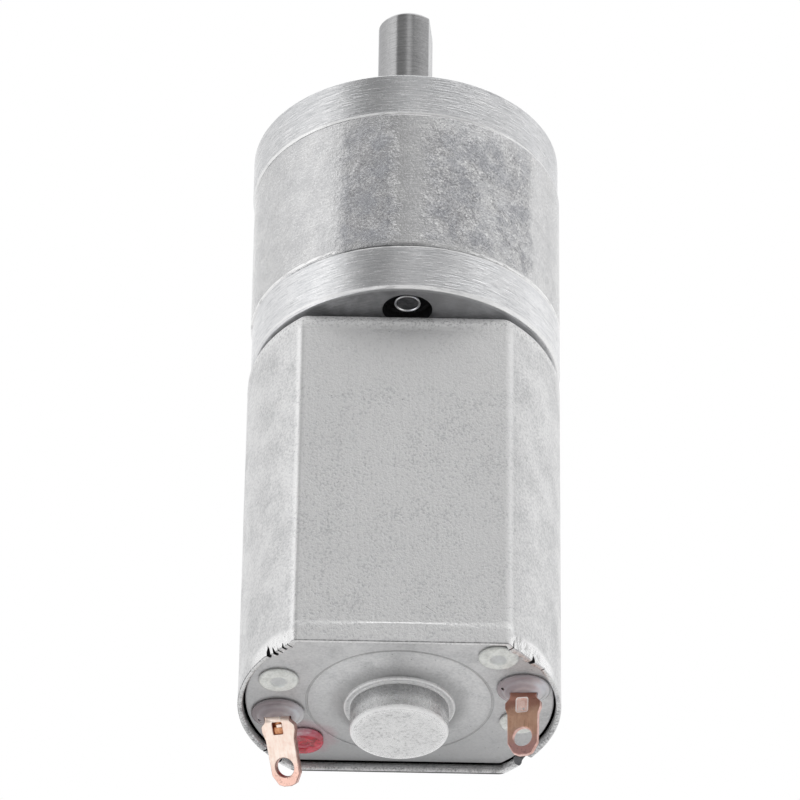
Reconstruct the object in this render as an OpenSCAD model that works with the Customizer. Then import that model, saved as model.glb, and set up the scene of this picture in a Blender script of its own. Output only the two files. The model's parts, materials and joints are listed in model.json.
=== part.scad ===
// Small geared dc motor: a flat-sided permanent-magnet motor with a two-stage
// planetary gearbox. Millimetres. The output shaft points along +Z and z = 0 is
// the front mounting face of the gearbox. Everything else lies below it.

/* [Gearbox] */
// Outside diameter of the gearbox
gb_d = 20.0; // [19.6:0.1:20.6]
// Thickness of the front cap
cap_t = 3.2; // [3.0:0.1:3.6]
// Length of the toothed ring that forms the middle of the gearbox
ring_l = 10.5; // [10.5:0.1:11.5]
// Thickness of the rear plate that the motor bolts to
rear_t = 3.4; // [3.2:0.1:4.0]
// Radius of the circle on which the two long gearbox screws sit
screw_r = 8.1; // [8.0:0.05:8.3]

/* [Output shaft] */
// Diameter of the output shaft
shaft_d = 4.0; // [3.9:0.05:4.1]
// How far the shaft reaches beyond the front mounting face
shaft_l = 11.7; // [10:0.1:16]
// Size across the flat of the shaft
flat_across = 3.5; // [3.4:0.05:3.6]
// Length of the flat, from the shaft's end
flat_l = 7.6; // [5:0.1:8.4]
// Turn of the shaft's flat from the +X direction at rest
flat_turn = -6.5; // [-30:0.5:30]

/* [Motor] */
// Diameter over the round sides of the motor can
can_d = 20.1; // [20:0.05:20.3]
// Width over the two flat sides of the motor can
can_flat = 15.2; // [15:0.05:15.4]
// Length of the motor can
can_l = 25.0; // [25:0.1:26]
// Sheet thickness of the motor can
can_wall = 0.4; // [0.4:0.05:0.5]
// How far the end plate sits below the can's rear rim
recess = 0.4; // [0.3:0.05:0.6]

/* [Mounting] */
// Distance between the two threaded mounting holes
mount_pitch = 15.0; // [14.6:0.1:15.2]
// Bore of the mounting holes, tapped for M2.5
mount_bore = 2.1; // [2.0:0.05:2.2]
// Diameter of the pilot boss around the shaft
pilot_d = 7.0; // [6.8:0.1:8]
// Height of the pilot boss
pilot_h = 2.0; // [1.5:0.1:2.0]

/* [Gears] */
// Thinning of every tooth at the pitch circle, which gives the play
play = 0.05; // [0.04:0.005:0.07]

/* [Hidden] */

// gap between parts that are pressed, glued or clamped together
e = 0.01;
R = gb_d / 2;
z_cap = -cap_t;
z_ring = z_cap - ring_l;
z_mot = z_ring - rear_t;
z_rim = z_mot - can_l;
z_plate = z_rim + recess;
plate_t = 0.8;
z_in = z_plate + plate_t;

// gear train: both stages share the ring; 42 / 12 / 15 teeth
gm = 0.3;
n_ring = 42;
n_sun = 12;
n_planet = 15;
pa = 20;
add = 0.85 * gm;
ded = 1.2 * gm;
centre = gm * (n_sun + n_planet) / 2;
pin_r = 0.6;
bore_r = 0.62;
// axial layout of the gear train
ocar_top = z_cap - 0.4;
ocar_bot = ocar_top - 1.6;
pl2_top = ocar_bot - 0.15;
pl2_bot = pl2_top - 3.5;
car_top = pl2_bot - 0.15;
car_bot = car_top - 1.2;
pl1_top = car_bot - 0.15;
pl1_bot = pl1_top - 2.8;

// motor insides
can_r = can_d / 2;
half_flat = can_flat / 2;
in_r = can_r - can_wall;
in_half = half_flat - can_wall;
hub_r = 3.05;
hub_h = 2.38;
rotor_r = 6.4;
core_top = z_mot - 5.9;
core_l = 10.0;
com_r = 2.1;
com_z = z_in + 1.0;
arm_z = z_in + 1.6;

// terminals: place, twist about the blade's length, lean sideways, bend towards +Y,
// and the turn of the slot in the nylon that holds the blade
term_l_pos = [-7.55, 1.44];
term_l_set = [-32.4, -14.1, 41.3];
term_l_slot = -8;
term_r_pos = [7.65, -1.86];
term_r_set = [-18.2, 0.2, 14.1];
term_r_slot = -2;
boss_h = 0.5;
blade_t = 0.42;
// nylon pegs that stake the holder to the end plate
pegs = [[-7.5, -2.4], [6.0, -5.35], [-5.95, 4.4], [7.5, 2.0]];
peg_r = 1.25;
peg_h = 0.27;

// ---------- helpers ----------
function inv(a) = tan(a) * 180 / PI - a;
function polar(r, a) = [r * cos(a), r * sin(a)];
// half the angle of a tooth at radius r, for a gear of n teeth whose tooth is w wider than half a pitch
function half_at(n, w, r) =
    let (rp = gm * n / 2, rb = rp * cos(pa))
    90 / n + (w / 2) / rp * 180 / PI + inv(pa) - (r > rb ? inv(acos(rb / r)) : 0);
// the outline of a spur gear: n teeth, one of them on +X
function gear_pts(n, w, up, down, k = 5) =
    let (rp = gm * n / 2, rb = rp * cos(pa), ro = rp + up, ri = rp - down, rs = max(ri, rb + 0.0005))
    [for (i = [0:n - 1]) let (c = 360 * i / n)
        each concat(
            ri < rb ? [polar(ri, c - half_at(n, w, rs))] : [],
            [for (j = [0:k]) let (r = rs + (ro - rs) * j / k) polar(r, c - half_at(n, w, r))],
            [for (j = [k:-1:0]) let (r = rs + (ro - rs) * j / k) polar(r, c + half_at(n, w, r))],
            ri < rb ? [polar(ri, c + half_at(n, w, rs))] : [])];
function arc_pts(c, r, a0, a1, k = 8) =
    [for (i = [0:k]) c + polar(r, a0 + (a1 - a0) * i / k)];

module tube(ro, ri, z0, h, f = 96) {
    translate([0, 0, z0]) difference() {
        cylinder(r = ro, h = h, $fn = f);
        translate([0, 0, -1]) cylinder(r = ri, h = h + 2, $fn = f);
    }
}
module disc(r, z0, h, f = 96) {
    translate([0, 0, z0]) cylinder(r = r, h = h, $fn = f);
}
module rod(p, r, z0, z1, f = 48) {
    translate([p[0], p[1], z0]) cylinder(r = r, h = z1 - z0, $fn = f);
}
module lathe(pts, f = 128) {
    rotate_extrude($fn = f) polygon(pts);
}
// a flat-sided round outline
module flat_round(r, h) {
    intersection() {
        circle(r = r, $fn = 128);
        square([2 * r + 2, 2 * h], center = true);
    }
}

// ---------- gearbox shells ----------
module front_cap() {
    color([0.74, 0.74, 0.76]) difference() {
        lathe([[2.8, z_cap], [R - 0.12, z_cap], [R, z_cap + 0.12], [R, -0.2], [R - 0.2, 0],
               [pilot_d / 2, 0], [pilot_d / 2, pilot_h - 0.2], [pilot_d / 2 - 0.2, pilot_h],
               [2.8, pilot_h]]);
        for (s = [-1, 1]) {
            rod([s * mount_pitch / 2, 0], mount_bore / 2, z_cap - 1, 1);
            translate([s * mount_pitch / 2, 0, -0.2])
                cylinder(r1 = mount_bore / 2, r2 = mount_bore / 2 + 0.25, h = 0.25, $fn = 48);
            rod([0, s * screw_r], 0.85, z_cap - 1, 1);
            translate([0, s * screw_r, -0.75]) cylinder(r1 = 0.85, r2 = 1.6, h = 0.75, $fn = 48);
            rod([0, s * screw_r], 1.6, -0.001, 1);
        }
    }
}
module output_bush() {
    color([0.62, 0.50, 0.32])
        lathe([[shaft_d / 2 + 0.02, z_cap + 0.02], [2.8 - e, z_cap + 0.02], [2.8 - e, pilot_h - 0.15],
               [2.65, pilot_h], [shaft_d / 2 + 0.22, pilot_h], [shaft_d / 2 + 0.02, pilot_h - 0.2]]);
}
module output_thrust_washer() {
    color([0.80, 0.80, 0.78]) tube(4.4, shaft_d / 2 + 0.15, z_cap - 0.31, 0.3);
}
module ring_gear() {
    color([0.60, 0.60, 0.62]) difference() {
        lathe([[0, z_ring], [R - 0.1, z_ring], [R, z_ring + 0.1], [R, z_cap - 0.1 - e],
               [R - 0.1, z_cap - e], [0, z_cap - e]]);
        translate([0, 0, z_ring - 1])
            linear_extrude(ring_l + 2) polygon(gear_pts(n_ring, play, ded, add, 4));
        for (s = [-1, 1]) rod([0, s * screw_r], 0.9, z_ring - 1, z_cap + 1);
    }
}
module gearbox_rear_plate() {
    color([0.74, 0.74, 0.76]) difference() {
        lathe([[3.12, z_mot], [R - 0.25, z_mot], [R, z_mot + 0.25], [R, z_ring - 0.12 - e],
               [R - 0.12, z_ring - e], [3.12, z_ring - e]]);
        for (s = [-1, 1]) {
            // tapped holes for the long screws, open at the back in a wider pocket that sits nearer the axis
            rod([0, s * screw_r], 0.8, z_mot - 1, z_ring + 1);
            rod([0, s * (screw_r - 0.55)], 1.58, z_mot - 1, z_mot + 1.0);
            // motor screws, heads sunk in the front
            rod([s * 5, 0], 0.95, z_mot - 1, z_ring + 1);
            rod([s * 5, 0], 1.7, z_ring - 1.2, z_ring + 1);
        }
    }
}
module long_screw() {
    difference() {
        union() {
            lathe([[0, -0.05], [1.55, -0.05], [0.78, -0.82], [0.78, z_mot + 0.16], [0.66, z_mot + 0.04],
                   [0, z_mot + 0.04]], 48);
        }
        // cross recess
        for (a = [45, 135]) rotate(a) translate([-0.85, -0.14, -0.5]) cube([1.7, 0.28, 1]);
    }
}
module gearbox_screws() {
    color([0.55, 0.55, 0.57]) for (s = [-1, 1]) translate([0, s * screw_r, 0]) long_screw();
}
module motor_screws() {
    color([0.55, 0.55, 0.57]) for (s = [-1, 1]) translate([s * 5, 0, 0]) difference() {
        lathe([[0, z_ring - 0.15], [1.35, z_ring - 0.15], [1.6, z_ring - 0.4], [1.6, z_ring - 1.19],
               [0.83, z_ring - 1.19], [0.83, z_mot - 1.2], [0.7, z_mot - 1.4], [0, z_mot - 1.4]], 48);
        for (a = [0, 90]) rotate(a) translate([-0.9, -0.15, z_ring - 0.65]) cube([1.8, 0.3, 1]);
    }
}
module thrust_plate() {
    color([0.78, 0.78, 0.76]) tube(5.85, 2.4, z_ring, 0.4);
}

// ---------- gears and carriers ----------
module spur(n, z0, h, bore) {
    translate([0, 0, z0]) difference() {
        linear_extrude(h) polygon(gear_pts(n, -play, add, ded, 4));
        translate([0, 0, -1]) cylinder(r = bore, h = h + 2, $fn = 48);
    }
}
module planet(i, z0, h) {
    translate(concat(polar(centre, 120 * i), [0])) spur(n_planet, z0, h, bore_r);
}
module carrier(z0, h, hub) {
    difference() {
        lathe([[hub, z0], [5.7, z0], [5.8, z0 + 0.1], [5.8, z0 + h - 0.1], [5.7, z0 + h], [hub, z0 + h]]);
        for (i = [0:2]) rod(polar(centre, 120 * i), pin_r + e, z0 - 1, z0 + h + 1);
    }
}
module pins(z0, z1) {
    for (i = [0:2]) translate(concat(polar(centre, 120 * i), [0]))
        lathe([[0, z0], [pin_r - 0.1, z0], [pin_r, z0 + 0.1], [pin_r, z1], [0, z1]], 48);
}
module output_shaft() {
    color([0.62, 0.62, 0.64]) difference() {
        lathe([[0, ocar_bot + 0.02], [1.7, ocar_bot + 0.02], [1.8, ocar_bot + 0.12], [1.8, ocar_top],
               [shaft_d / 2, ocar_top], [shaft_d / 2, pilot_h + 0.1],
               [1.6, pilot_h + 0.1], [1.6, pilot_h + 0.72], [shaft_d / 2, pilot_h + 0.72],
               // the end with the flat is ground 0.01 smaller, so that hubs slide on
               [shaft_d / 2, shaft_l - flat_l], [shaft_d / 2 - 0.005, shaft_l - flat_l],
               [shaft_d / 2 - 0.005, shaft_l - 0.2], [shaft_d / 2 - 0.2, shaft_l], [0, shaft_l]]);
        rotate(flat_turn) translate([flat_across - shaft_d / 2, -5, shaft_l - flat_l]) cube([5, 10, flat_l + 1]);
    }
}
module retaining_clip() {
    color([0.35, 0.35, 0.37]) difference() {
        tube(3.0, 1.61, pilot_h + 0.16, 0.5);
        rotate(flat_turn) translate([0, -1.2, pilot_h]) cube([5, 2.4, 1]);
        for (a = [110, 250]) rotate(flat_turn + a) translate([2.15, 0, pilot_h]) cylinder(r = 0.55, h = 1, $fn = 32);
    }
}
module output_carrier() {
    color([0.66, 0.66, 0.68]) carrier(ocar_bot, ocar_top - ocar_bot, 1.8 + e);
}
module output_planet_pins() {
    color([0.80, 0.80, 0.82]) pins(pl2_bot + 0.05, ocar_top - 0.05);
}
module output_planet_1() { color([0.58, 0.56, 0.52]) planet(0, pl2_bot, 3.5); }
module output_planet_2() { color([0.58, 0.56, 0.52]) planet(1, pl2_bot, 3.5); }
module output_planet_3() { color([0.58, 0.56, 0.52]) planet(2, pl2_bot, 3.5); }
module first_carrier() {
    color([0.66, 0.66, 0.68]) carrier(car_bot, car_top - car_bot, 1.3 + e);
}
module first_planet_pins() {
    color([0.80, 0.80, 0.82]) pins(pl1_bot + 0.05, car_top - 0.05);
}
module second_sun_gear() {
    color([0.58, 0.56, 0.52]) {
        translate([0, 0, car_top + 0.02]) linear_extrude(pl2_top - car_top - 0.02)
            polygon(gear_pts(n_sun, -play, add, ded, 4));
        disc(1.3, car_bot + 0.05, car_top - car_bot - 0.03, 48);
    }
}
module first_planet_1() { color([0.58, 0.56, 0.52]) planet(0, pl1_bot, 2.8); }
module first_planet_2() { color([0.58, 0.56, 0.52]) planet(1, pl1_bot, 2.8); }
module first_planet_3() { color([0.58, 0.56, 0.52]) planet(2, pl1_bot, 2.8); }

// ---------- motor shell ----------
// a drawn can: round sides, two flat sides and a rounded shoulder at the front
module can_body(r, h, top, fillet, bottom) {
    intersection() {
        lathe(concat([[0, bottom], [r, bottom]], arc_pts([r - fillet, top - fillet], fillet, 0, 90), [[0, top]]));
        rotate([90, 0, 90]) translate([0, 0, -r - 1]) linear_extrude(2 * r + 2)
            polygon(concat([[-h, bottom], [h, bottom]],
                           arc_pts([h - fillet, top - fillet], fillet, 0, 90),
                           arc_pts([-h + fillet, top - fillet], fillet, 90, 180)));
    }
}
module motor_can() {
    color([0.76, 0.76, 0.77]) {
        difference() {
            union() {
                can_body(can_r, half_flat, z_mot, 1.3, z_rim);
                disc(hub_r, z_mot - 0.2, 1.7);
            }
            can_body(in_r, in_half, z_mot - can_wall, 0.8, z_rim - 1);
            rod([0, 0], 2.25 + e, z_mot - 3, z_mot + 1.2, 96);
            rod([0, 0], 1.6, z_mot - 3, z_mot + 5, 96);
            for (s = [-1, 1]) rod([s * 5, 0], 0.85, z_mot - 3, z_mot + 1);
        }
        // rim staked over the end plate in four places
        difference() {
            for (a = [37, 144.5, 221, 321]) rotate(a)
                translate([in_r - 0.7, -0.75, z_rim + 0.05]) cube([0.9, 1.5, 0.33]);
            for (p = pegs) rod(p, peg_r + 0.05, z_rim - 1, z_rim + 1);
        }
    }
}
module end_plate() {
    color([0.72, 0.72, 0.73]) difference() {
        union() {
            translate([0, 0, z_plate]) linear_extrude(plate_t) flat_round(in_r - 0.15, in_half - 0.22);
            // hub that holds the rear bush, on a stepped base
            // and rises from the plate in a wide cove with a small collar
            lathe(concat([[0, z_in - 0.1], [4.9, z_in - 0.1]],
                arc_pts([4.9, z_plate - 2.4], 2.4, 90, 125.6, 6),
                [[3.42, z_plate - 0.55], [3.26, z_plate - 0.60], [hub_r, z_plate - 0.62]],
                arc_pts([hub_r - 0.34, z_plate - hub_h + 0.34], 0.34, 0, -90, 6),
                [[0, z_plate - hub_h]]));
        }
        rod([0, 0], 2.45, z_plate - hub_h + 0.45, z_in + 1, 96);
        for (p = pegs) rod(p, 0.97, z_plate - 1, z_in + 1);
        for (p = [term_l_pos, term_r_pos]) rod(p, 1.35, z_plate - 1, z_in + 1);
        // faint pressed ring
        tube(5.87, 5.7, z_plate - 1, 1.05);
    }
}
module front_bush() {
    color([0.62, 0.50, 0.32]) tube(2.25, 1.02, z_mot - 1.3, 2.48);
}
module rear_bush() {
    color([0.62, 0.50, 0.32]) tube(2.45 - e, 1.02, z_plate - hub_h + 0.6, hub_h + plate_t - 0.65);
}
module magnet(a) {
    color([0.28, 0.28, 0.30]) translate([0, 0, core_top - core_l - 1]) linear_extrude(12) intersection() {
        difference() {
            circle(r = in_r - 0.03, $fn = 128);
            circle(r = 6.75, $fn = 128);
        }
        polygon([[0, 0], polar(14, a - 44), polar(14, a), polar(14, a + 44)]);
    }
}
module magnet_left() { magnet(180); }
module magnet_right() { magnet(0); }
module magnet_spring() {
    color([0.70, 0.71, 0.73]) translate([0, 0, core_top - core_l]) linear_extrude(10) {
        difference() {
            polygon([polar(7.5, 45), polar(9.45, 45), [6.2, 7.02], [-6.2, 7.02], polar(9.45, 135), polar(7.5, 135),
                     polar(7.5, 132.5), [-5.9, 6.72], [5.9, 6.72], polar(7.5, 47.5)]);
        }
    }
}

// ---------- brush gear ----------
module blade_at(p, turn) {
    translate([p[0], p[1], 0]) rotate(turn) children();
}
module brush_holder() {
    color([0.83, 0.82, 0.80]) difference() {
        union() {
            translate([0, 0, z_in + e]) linear_extrude(1.2) flat_round(in_r - 0.1, in_half - 0.1);
            for (p = pegs) {
                rod(p, 0.95, z_plate - 0.02, z_in + 0.1);
                translate([p[0], p[1], 0]) lathe(concat([[0, z_plate - e], [peg_r, z_plate - e]],
                    arc_pts([peg_r - 0.14, z_plate - peg_h + 0.14], 0.14, 0, -90, 3),
                    [[0.62, z_plate - peg_h], [0.45, z_plate - peg_h + 0.07], [0, z_plate - peg_h + 0.07]]), 64);
            }
            for (p = [term_l_pos, term_r_pos]) {
                rod(p, 1.33, z_plate - 0.02, z_in + 0.1);
                translate([p[0], p[1], 0]) lathe(concat([[0, z_plate - e], [1.67, z_plate - e]],
                    arc_pts([1.55, z_plate - 0.12], 0.12, 0, -90, 3),
                    arc_pts([1.2, z_plate - boss_h + 0.14], 0.14, 0, -90, 3),
                    [[0, z_plate - boss_h]]), 64);
            }
        }
        rod([0, 0], 3.3, z_in - 1, z_in + 3, 96);
        for (t = [[term_l_pos, term_l_slot], [term_r_pos, term_r_slot]])
            blade_at(t[0], t[1]) translate([-0.84, -blade_t / 2 - 0.02, z_plate - 3])
                cube([1.68, blade_t + 0.04, 9]);
    }
}
module polarity_mark() {
    color([0.75, 0.10, 0.16]) translate([pegs[2][0], pegs[2][1], 0])
        lathe([[0, z_plate - peg_h + 0.04], [0.43, z_plate - peg_h + 0.04], [0.60, z_plate - peg_h - 0.03],
               [peg_r - 0.14, z_plate - peg_h - 0.03], [peg_r - 0.14, z_plate - peg_h], [0.62, z_plate - peg_h],
               [0.45, z_plate - peg_h + 0.07], [0, z_plate - peg_h + 0.07]], 64);
}
// outline of the solder blade outside the motor: x across, y away from the boss
module blade_outline(hole_y, len, win_y) {
    difference() {
        polygon([[-0.82, 0.6], [-0.82, -0.03], [-0.88, -0.1], [-1.14, -0.4], [-1.14, -0.85], [-0.99, -1.3],
                 [-0.95, -len + 0.75], [-0.59, -len + 0.13], [-0.26, -len], [0.26, -len],
                 [0.59, -len + 0.13], [0.95, -len + 0.75], [0.99, -1.3], [1.14, -0.85], [1.14, -0.4],
                 [0.88, -0.1], [0.82, -0.03], [0.82, 0.6]]);
        // punched window
        translate([-0.35, win_y]) square([0.64, 0.76]);
    }
}
module terminal(p, set, slot, hole_y, len, win_y) {
    color([0.80, 0.52, 0.40]) {
        // straight part through the nylon
        blade_at(p, slot) translate([-0.82, -blade_t / 2, z_plate - boss_h - 0.12]) cube([1.64, blade_t, 5.67]);
        // bent part outside, which starts just clear of the nylon
        difference() {
            translate([p[0], p[1], z_plate - boss_h]) rotate([0, set[1], 0]) rotate([set[2], 0, 0]) rotate(set[0])
                difference() {
                    rotate([90, 0, 0]) translate([0, 0, -blade_t / 2])
                        linear_extrude(blade_t) blade_outline(hole_y, len, win_y);
                    translate([0, 2, -hole_y]) rotate([90, 0, 0]) cylinder(r = 0.61, h = 4, $fn = 48);
                }
            translate([p[0] - 3, p[1] - 3, z_plate - boss_h - 0.02]) cube([6, 6, 3]);
        }
    }
}
module terminal_left() { terminal(term_l_pos, term_l_set, term_l_slot, 3.09, 4.29, -0.95); }
module terminal_right() { terminal(term_r_pos, term_r_set, term_r_slot, 2.78, 3.95, -1.12); }
// spring arm from the blade's inner end to the back of its brush
module arm(p, s) {
    a = s > 0 ? [p[0], p[1]] : [-p[0], -p[1]];
    color([0.78, 0.60, 0.40]) rotate(s > 0 ? 0 : 180) translate([0, 0, arm_z]) linear_extrude(2.2)
        polygon([[a[0] - 0.75, a[1] + 0.4], [a[0] + 0.55, a[1] + 0.4], [-3.2, 3.43], [0.7, 3.43],
                 [0.7, 3.61], [-3.3, 3.61], [a[0] + 0.45, a[1] + 0.6], [a[0] - 0.75, a[1] + 0.6]]);
}
module brush_arm_left() { arm(term_l_pos, 1); }
module brush_arm_right() { arm(term_r_pos, -1); }
module brush(s) {
    color([0.20, 0.19, 0.19]) rotate(s > 0 ? 0 : 180) difference() {
        translate([-0.65, 1.5, arm_z + 0.1]) cube([1.3, 1.92, 2.0]);
        rod([0, 0], com_r + 0.05, arm_z - 1, arm_z + 4, 96);
    }
}
module brush_left() { brush(1); }
module brush_right() { brush(-1); }

// ---------- rotor ----------
module motor_shaft() {
    color([0.72, 0.72, 0.74])
        lathe([[0, z_plate - hub_h + 0.6], [0.85, z_plate - hub_h + 0.6], [1.0, z_plate - hub_h + 0.75],
               [1.0, pl1_top - 0.1], [0.9, pl1_top], [0, pl1_top]], 64);
}
module motor_pinion() {
    color([0.80, 0.66, 0.34]) spur(n_sun, pl1_bot, pl1_top - pl1_bot - 0.05, 1.0 + e);
}
module pole_outline(grow) {
    circle(r = 2.2 + grow, $fn = 64);
    for (i = [0:2]) rotate(120 * i) {
        translate([0, -1.1 - grow]) square([5.8, 2.2 + 2 * grow]);
        intersection() {
            difference() {
                circle(r = rotor_r, $fn = 128);
                circle(r = 5.4, $fn = 128);
            }
            polygon([[0, 0], polar(14, -48), polar(14, 0), polar(14, 48)]);
        }
    }
}
module rotor_core() {
    color([0.50, 0.51, 0.53]) translate([0, 0, core_top - core_l]) difference() {
        linear_extrude(core_l) pole_outline(0);
        translate([0, 0, -1]) cylinder(r = 1.0 + e, h = core_l + 2, $fn = 64);
    }
}
module rotor_insulation() {
    color([0.20, 0.35, 0.30]) for (z = [core_top + e, core_top - core_l - 0.4 - e])
        translate([0, 0, z]) difference() {
            linear_extrude(0.4) pole_outline(0);
            translate([0, 0, -1]) cylinder(r = 1.0 + e, h = 3, $fn = 64);
        }
}
module winding(i) {
    color([0.72, 0.36, 0.16]) rotate(120 * i) difference() {
        translate([0, 0, core_top - core_l - 1.7]) linear_extrude(core_l + 3.4) intersection() {
            translate([2.45, -2.4]) square([4, 4.8]);
            circle(r = 5.3, $fn = 96);
        }
        translate([1, -1.13, core_top - core_l - 0.44]) cube([6, 2.26, core_l + 0.88]);
    }
}
module winding_1() { winding(0); }
module winding_2() { winding(1); }
module winding_3() { winding(2); }
module commutator_hub() {
    color([0.15, 0.14, 0.13]) lathe([[1.0 + e, com_z - 0.3], [1.54, com_z - 0.3], [1.54, com_z + 3.6],
        [2.3, com_z + 3.6], [2.3, com_z + 4.2], [1.0 + e, com_z + 4.2]]);
}
module commutator_segments() {
    color([0.80, 0.48, 0.30]) for (i = [0:2]) rotate(120 * i + 60) translate([0, 0, com_z]) {
        linear_extrude(3.58) intersection() {
            difference() {
                circle(r = com_r, $fn = 96);
                circle(r = 1.55, $fn = 96);
            }
            polygon([[0, 0], polar(6, -56), polar(6, 0), polar(6, 56)]);
        }
        // tag for the winding's ends
        translate([2.0, -0.5, 3.2]) cube([1.3, 1.0, 0.38]);
    }
}
module commutator_ring() {
    color([0.16, 0.16, 0.17]) tube(3.6, 2.31, com_z + 3.65, 0.5);
}
module rotor_spacer() {
    color([0.86, 0.85, 0.80]) tube(1.7, 1.0 + e, core_top + 0.42, 3.4, 64);
}
module front_washers() {
    color([0.80, 0.62, 0.35]) for (i = [0:1]) tube(2.0, 1.0 + e, core_top + 3.84 + 0.31 * i, 0.3, 64);
}
module rear_washers() {
    color([0.80, 0.62, 0.35]) for (i = [0:1]) tube(1.9, 1.0 + e, z_in + 0.05 + 0.31 * i, 0.3, 64);
}

front_cap();
output_bush();
output_thrust_washer();
ring_gear();
gearbox_rear_plate();
gearbox_screws();
motor_screws();
thrust_plate();
output_shaft();
output_carrier();
output_planet_pins();
retaining_clip();
output_planet_1();
output_planet_2();
output_planet_3();
first_carrier();
first_planet_pins();
second_sun_gear();
first_planet_1();
first_planet_2();
first_planet_3();
motor_can();
end_plate();
front_bush();
rear_bush();
magnet_left();
magnet_right();
magnet_spring();
brush_holder();
polarity_mark();
terminal_left();
terminal_right();
brush_arm_left();
brush_arm_right();
brush_left();
brush_right();
motor_shaft();
motor_pinion();
rotor_core();
rotor_insulation();
winding_1();
winding_2();
winding_3();
commutator_hub();
commutator_segments();
commutator_ring();
rotor_spacer();
front_washers();
rear_washers();
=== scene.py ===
"""Geared dc motor: the visual pieces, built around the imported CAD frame.
Lengths are worked out in millimetres and scaled to metres when a piece is finished."""
import json
import math

import bmesh
import bpy
import numpy as np
from mathutils import Matrix, Vector, noise

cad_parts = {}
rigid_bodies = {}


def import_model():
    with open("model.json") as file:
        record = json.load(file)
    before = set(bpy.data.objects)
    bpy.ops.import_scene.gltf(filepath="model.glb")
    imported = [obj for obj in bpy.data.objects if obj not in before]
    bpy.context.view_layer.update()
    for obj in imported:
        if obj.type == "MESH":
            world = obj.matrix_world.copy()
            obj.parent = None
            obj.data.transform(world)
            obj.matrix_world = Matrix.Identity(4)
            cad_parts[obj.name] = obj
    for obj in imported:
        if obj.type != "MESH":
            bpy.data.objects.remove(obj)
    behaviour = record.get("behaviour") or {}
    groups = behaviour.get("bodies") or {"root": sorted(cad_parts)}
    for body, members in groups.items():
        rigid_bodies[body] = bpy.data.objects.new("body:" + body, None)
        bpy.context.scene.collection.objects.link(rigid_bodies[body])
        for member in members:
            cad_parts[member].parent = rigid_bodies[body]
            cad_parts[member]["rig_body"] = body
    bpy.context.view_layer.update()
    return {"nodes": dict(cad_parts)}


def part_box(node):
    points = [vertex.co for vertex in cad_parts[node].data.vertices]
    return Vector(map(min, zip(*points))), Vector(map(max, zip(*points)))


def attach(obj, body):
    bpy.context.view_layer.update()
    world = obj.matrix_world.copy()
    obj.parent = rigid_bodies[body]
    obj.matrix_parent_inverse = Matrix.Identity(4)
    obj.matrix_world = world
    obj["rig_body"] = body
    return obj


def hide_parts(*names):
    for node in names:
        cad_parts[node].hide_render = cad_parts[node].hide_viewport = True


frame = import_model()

NODES = frame["nodes"]
TAU = 2 * math.pi


def mm(node):
    """A CAD node's lowest and highest corner, in millimetres."""
    lo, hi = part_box(node)
    return [c * 1000 for c in lo], [c * 1000 for c in hi]


# ---------------------------------------------------------------- sizes
cap_lo, cap_hi = mm("front_cap")
ring_lo, ring_hi = mm("ring_gear")
rear_lo, rear_hi = mm("gearbox_rear_plate")
can_lo, can_hi = mm("motor_can")
plate_lo, plate_hi = mm("end_plate")
shaft_lo, shaft_hi = mm("output_shaft")
bush_lo, bush_hi = mm("output_bush")
clip_lo, clip_hi = mm("retaining_clip")
screws_lo, screws_hi = mm("gearbox_screws")
holder_lo, holder_hi = mm("brush_holder")
mark_lo, mark_hi = mm("polarity_mark")

R = 10.0
E = 0.01
Z_CAP = round(cap_lo[2], 3)
Z_RING = round(ring_lo[2], 3)
Z_MOT = round(rear_lo[2], 3)
Z_RIM = round(can_lo[2], 3)
Z_PLATE = Z_RIM + 0.4
Z_IN = Z_PLATE + 0.8
PILOT_H = round(cap_hi[2], 3)
SHAFT_L = round(shaft_hi[2], 3)
CAN_R = 10.05
HALF = 7.6
WALL = 0.33
IN_R = CAN_R - WALL
IN_HALF = HALF - WALL
SCREW_R = 8.1
MOUNT = 7.5
FLAT_TURN = -6.5
HUB_H = 2.38
POCKET_R, POCKET_Y = 1.58, SCREW_R - 0.55
# how far the clamped gearbox parts sit to the side, as assembled
SHIFT_CAP, SHIFT_RING, SHIFT_REAR = -0.05, 0.05, 0.10
PEGS = [(-7.5, -2.4), (6.0, -5.35), (-5.95, 4.4), (7.5, 2.0)]
TERM_L = dict(p=(-7.545, 1.442), yaw=-32.4, lean=-14.1, bend=41.3, slot=-7.0, hole=3.086, length=4.29,
              top=-0.142, win=(-0.95, -0.2), w0=0.99, w1=0.95, ws=1.145, t=0.41, r=0.613)
TERM_R = dict(p=(7.65, -1.85), yaw=-18.25, lean=0.2, bend=14.1, slot=-2.0, hole=2.776, length=3.934,
              top=-0.26, win=(-1.12, -0.33), w0=0.983, w1=0.951, ws=1.135, t=0.43, r=0.607)


# ---------------------------------------------------------------- mesh helpers
def new_object(name, verts, faces):
    me = bpy.data.meshes.new(name)
    me.from_pydata([tuple(map(float, v)) for v in verts], [], [tuple(f) for f in faces])
    me.update()
    ob = bpy.data.objects.new(name, me)
    bpy.context.scene.collection.objects.link(ob)
    bm = bmesh.new()
    bm.from_mesh(me)
    bmesh.ops.recalc_face_normals(bm, faces=bm.faces)
    bm.to_mesh(me)
    bm.free()
    return ob


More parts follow.
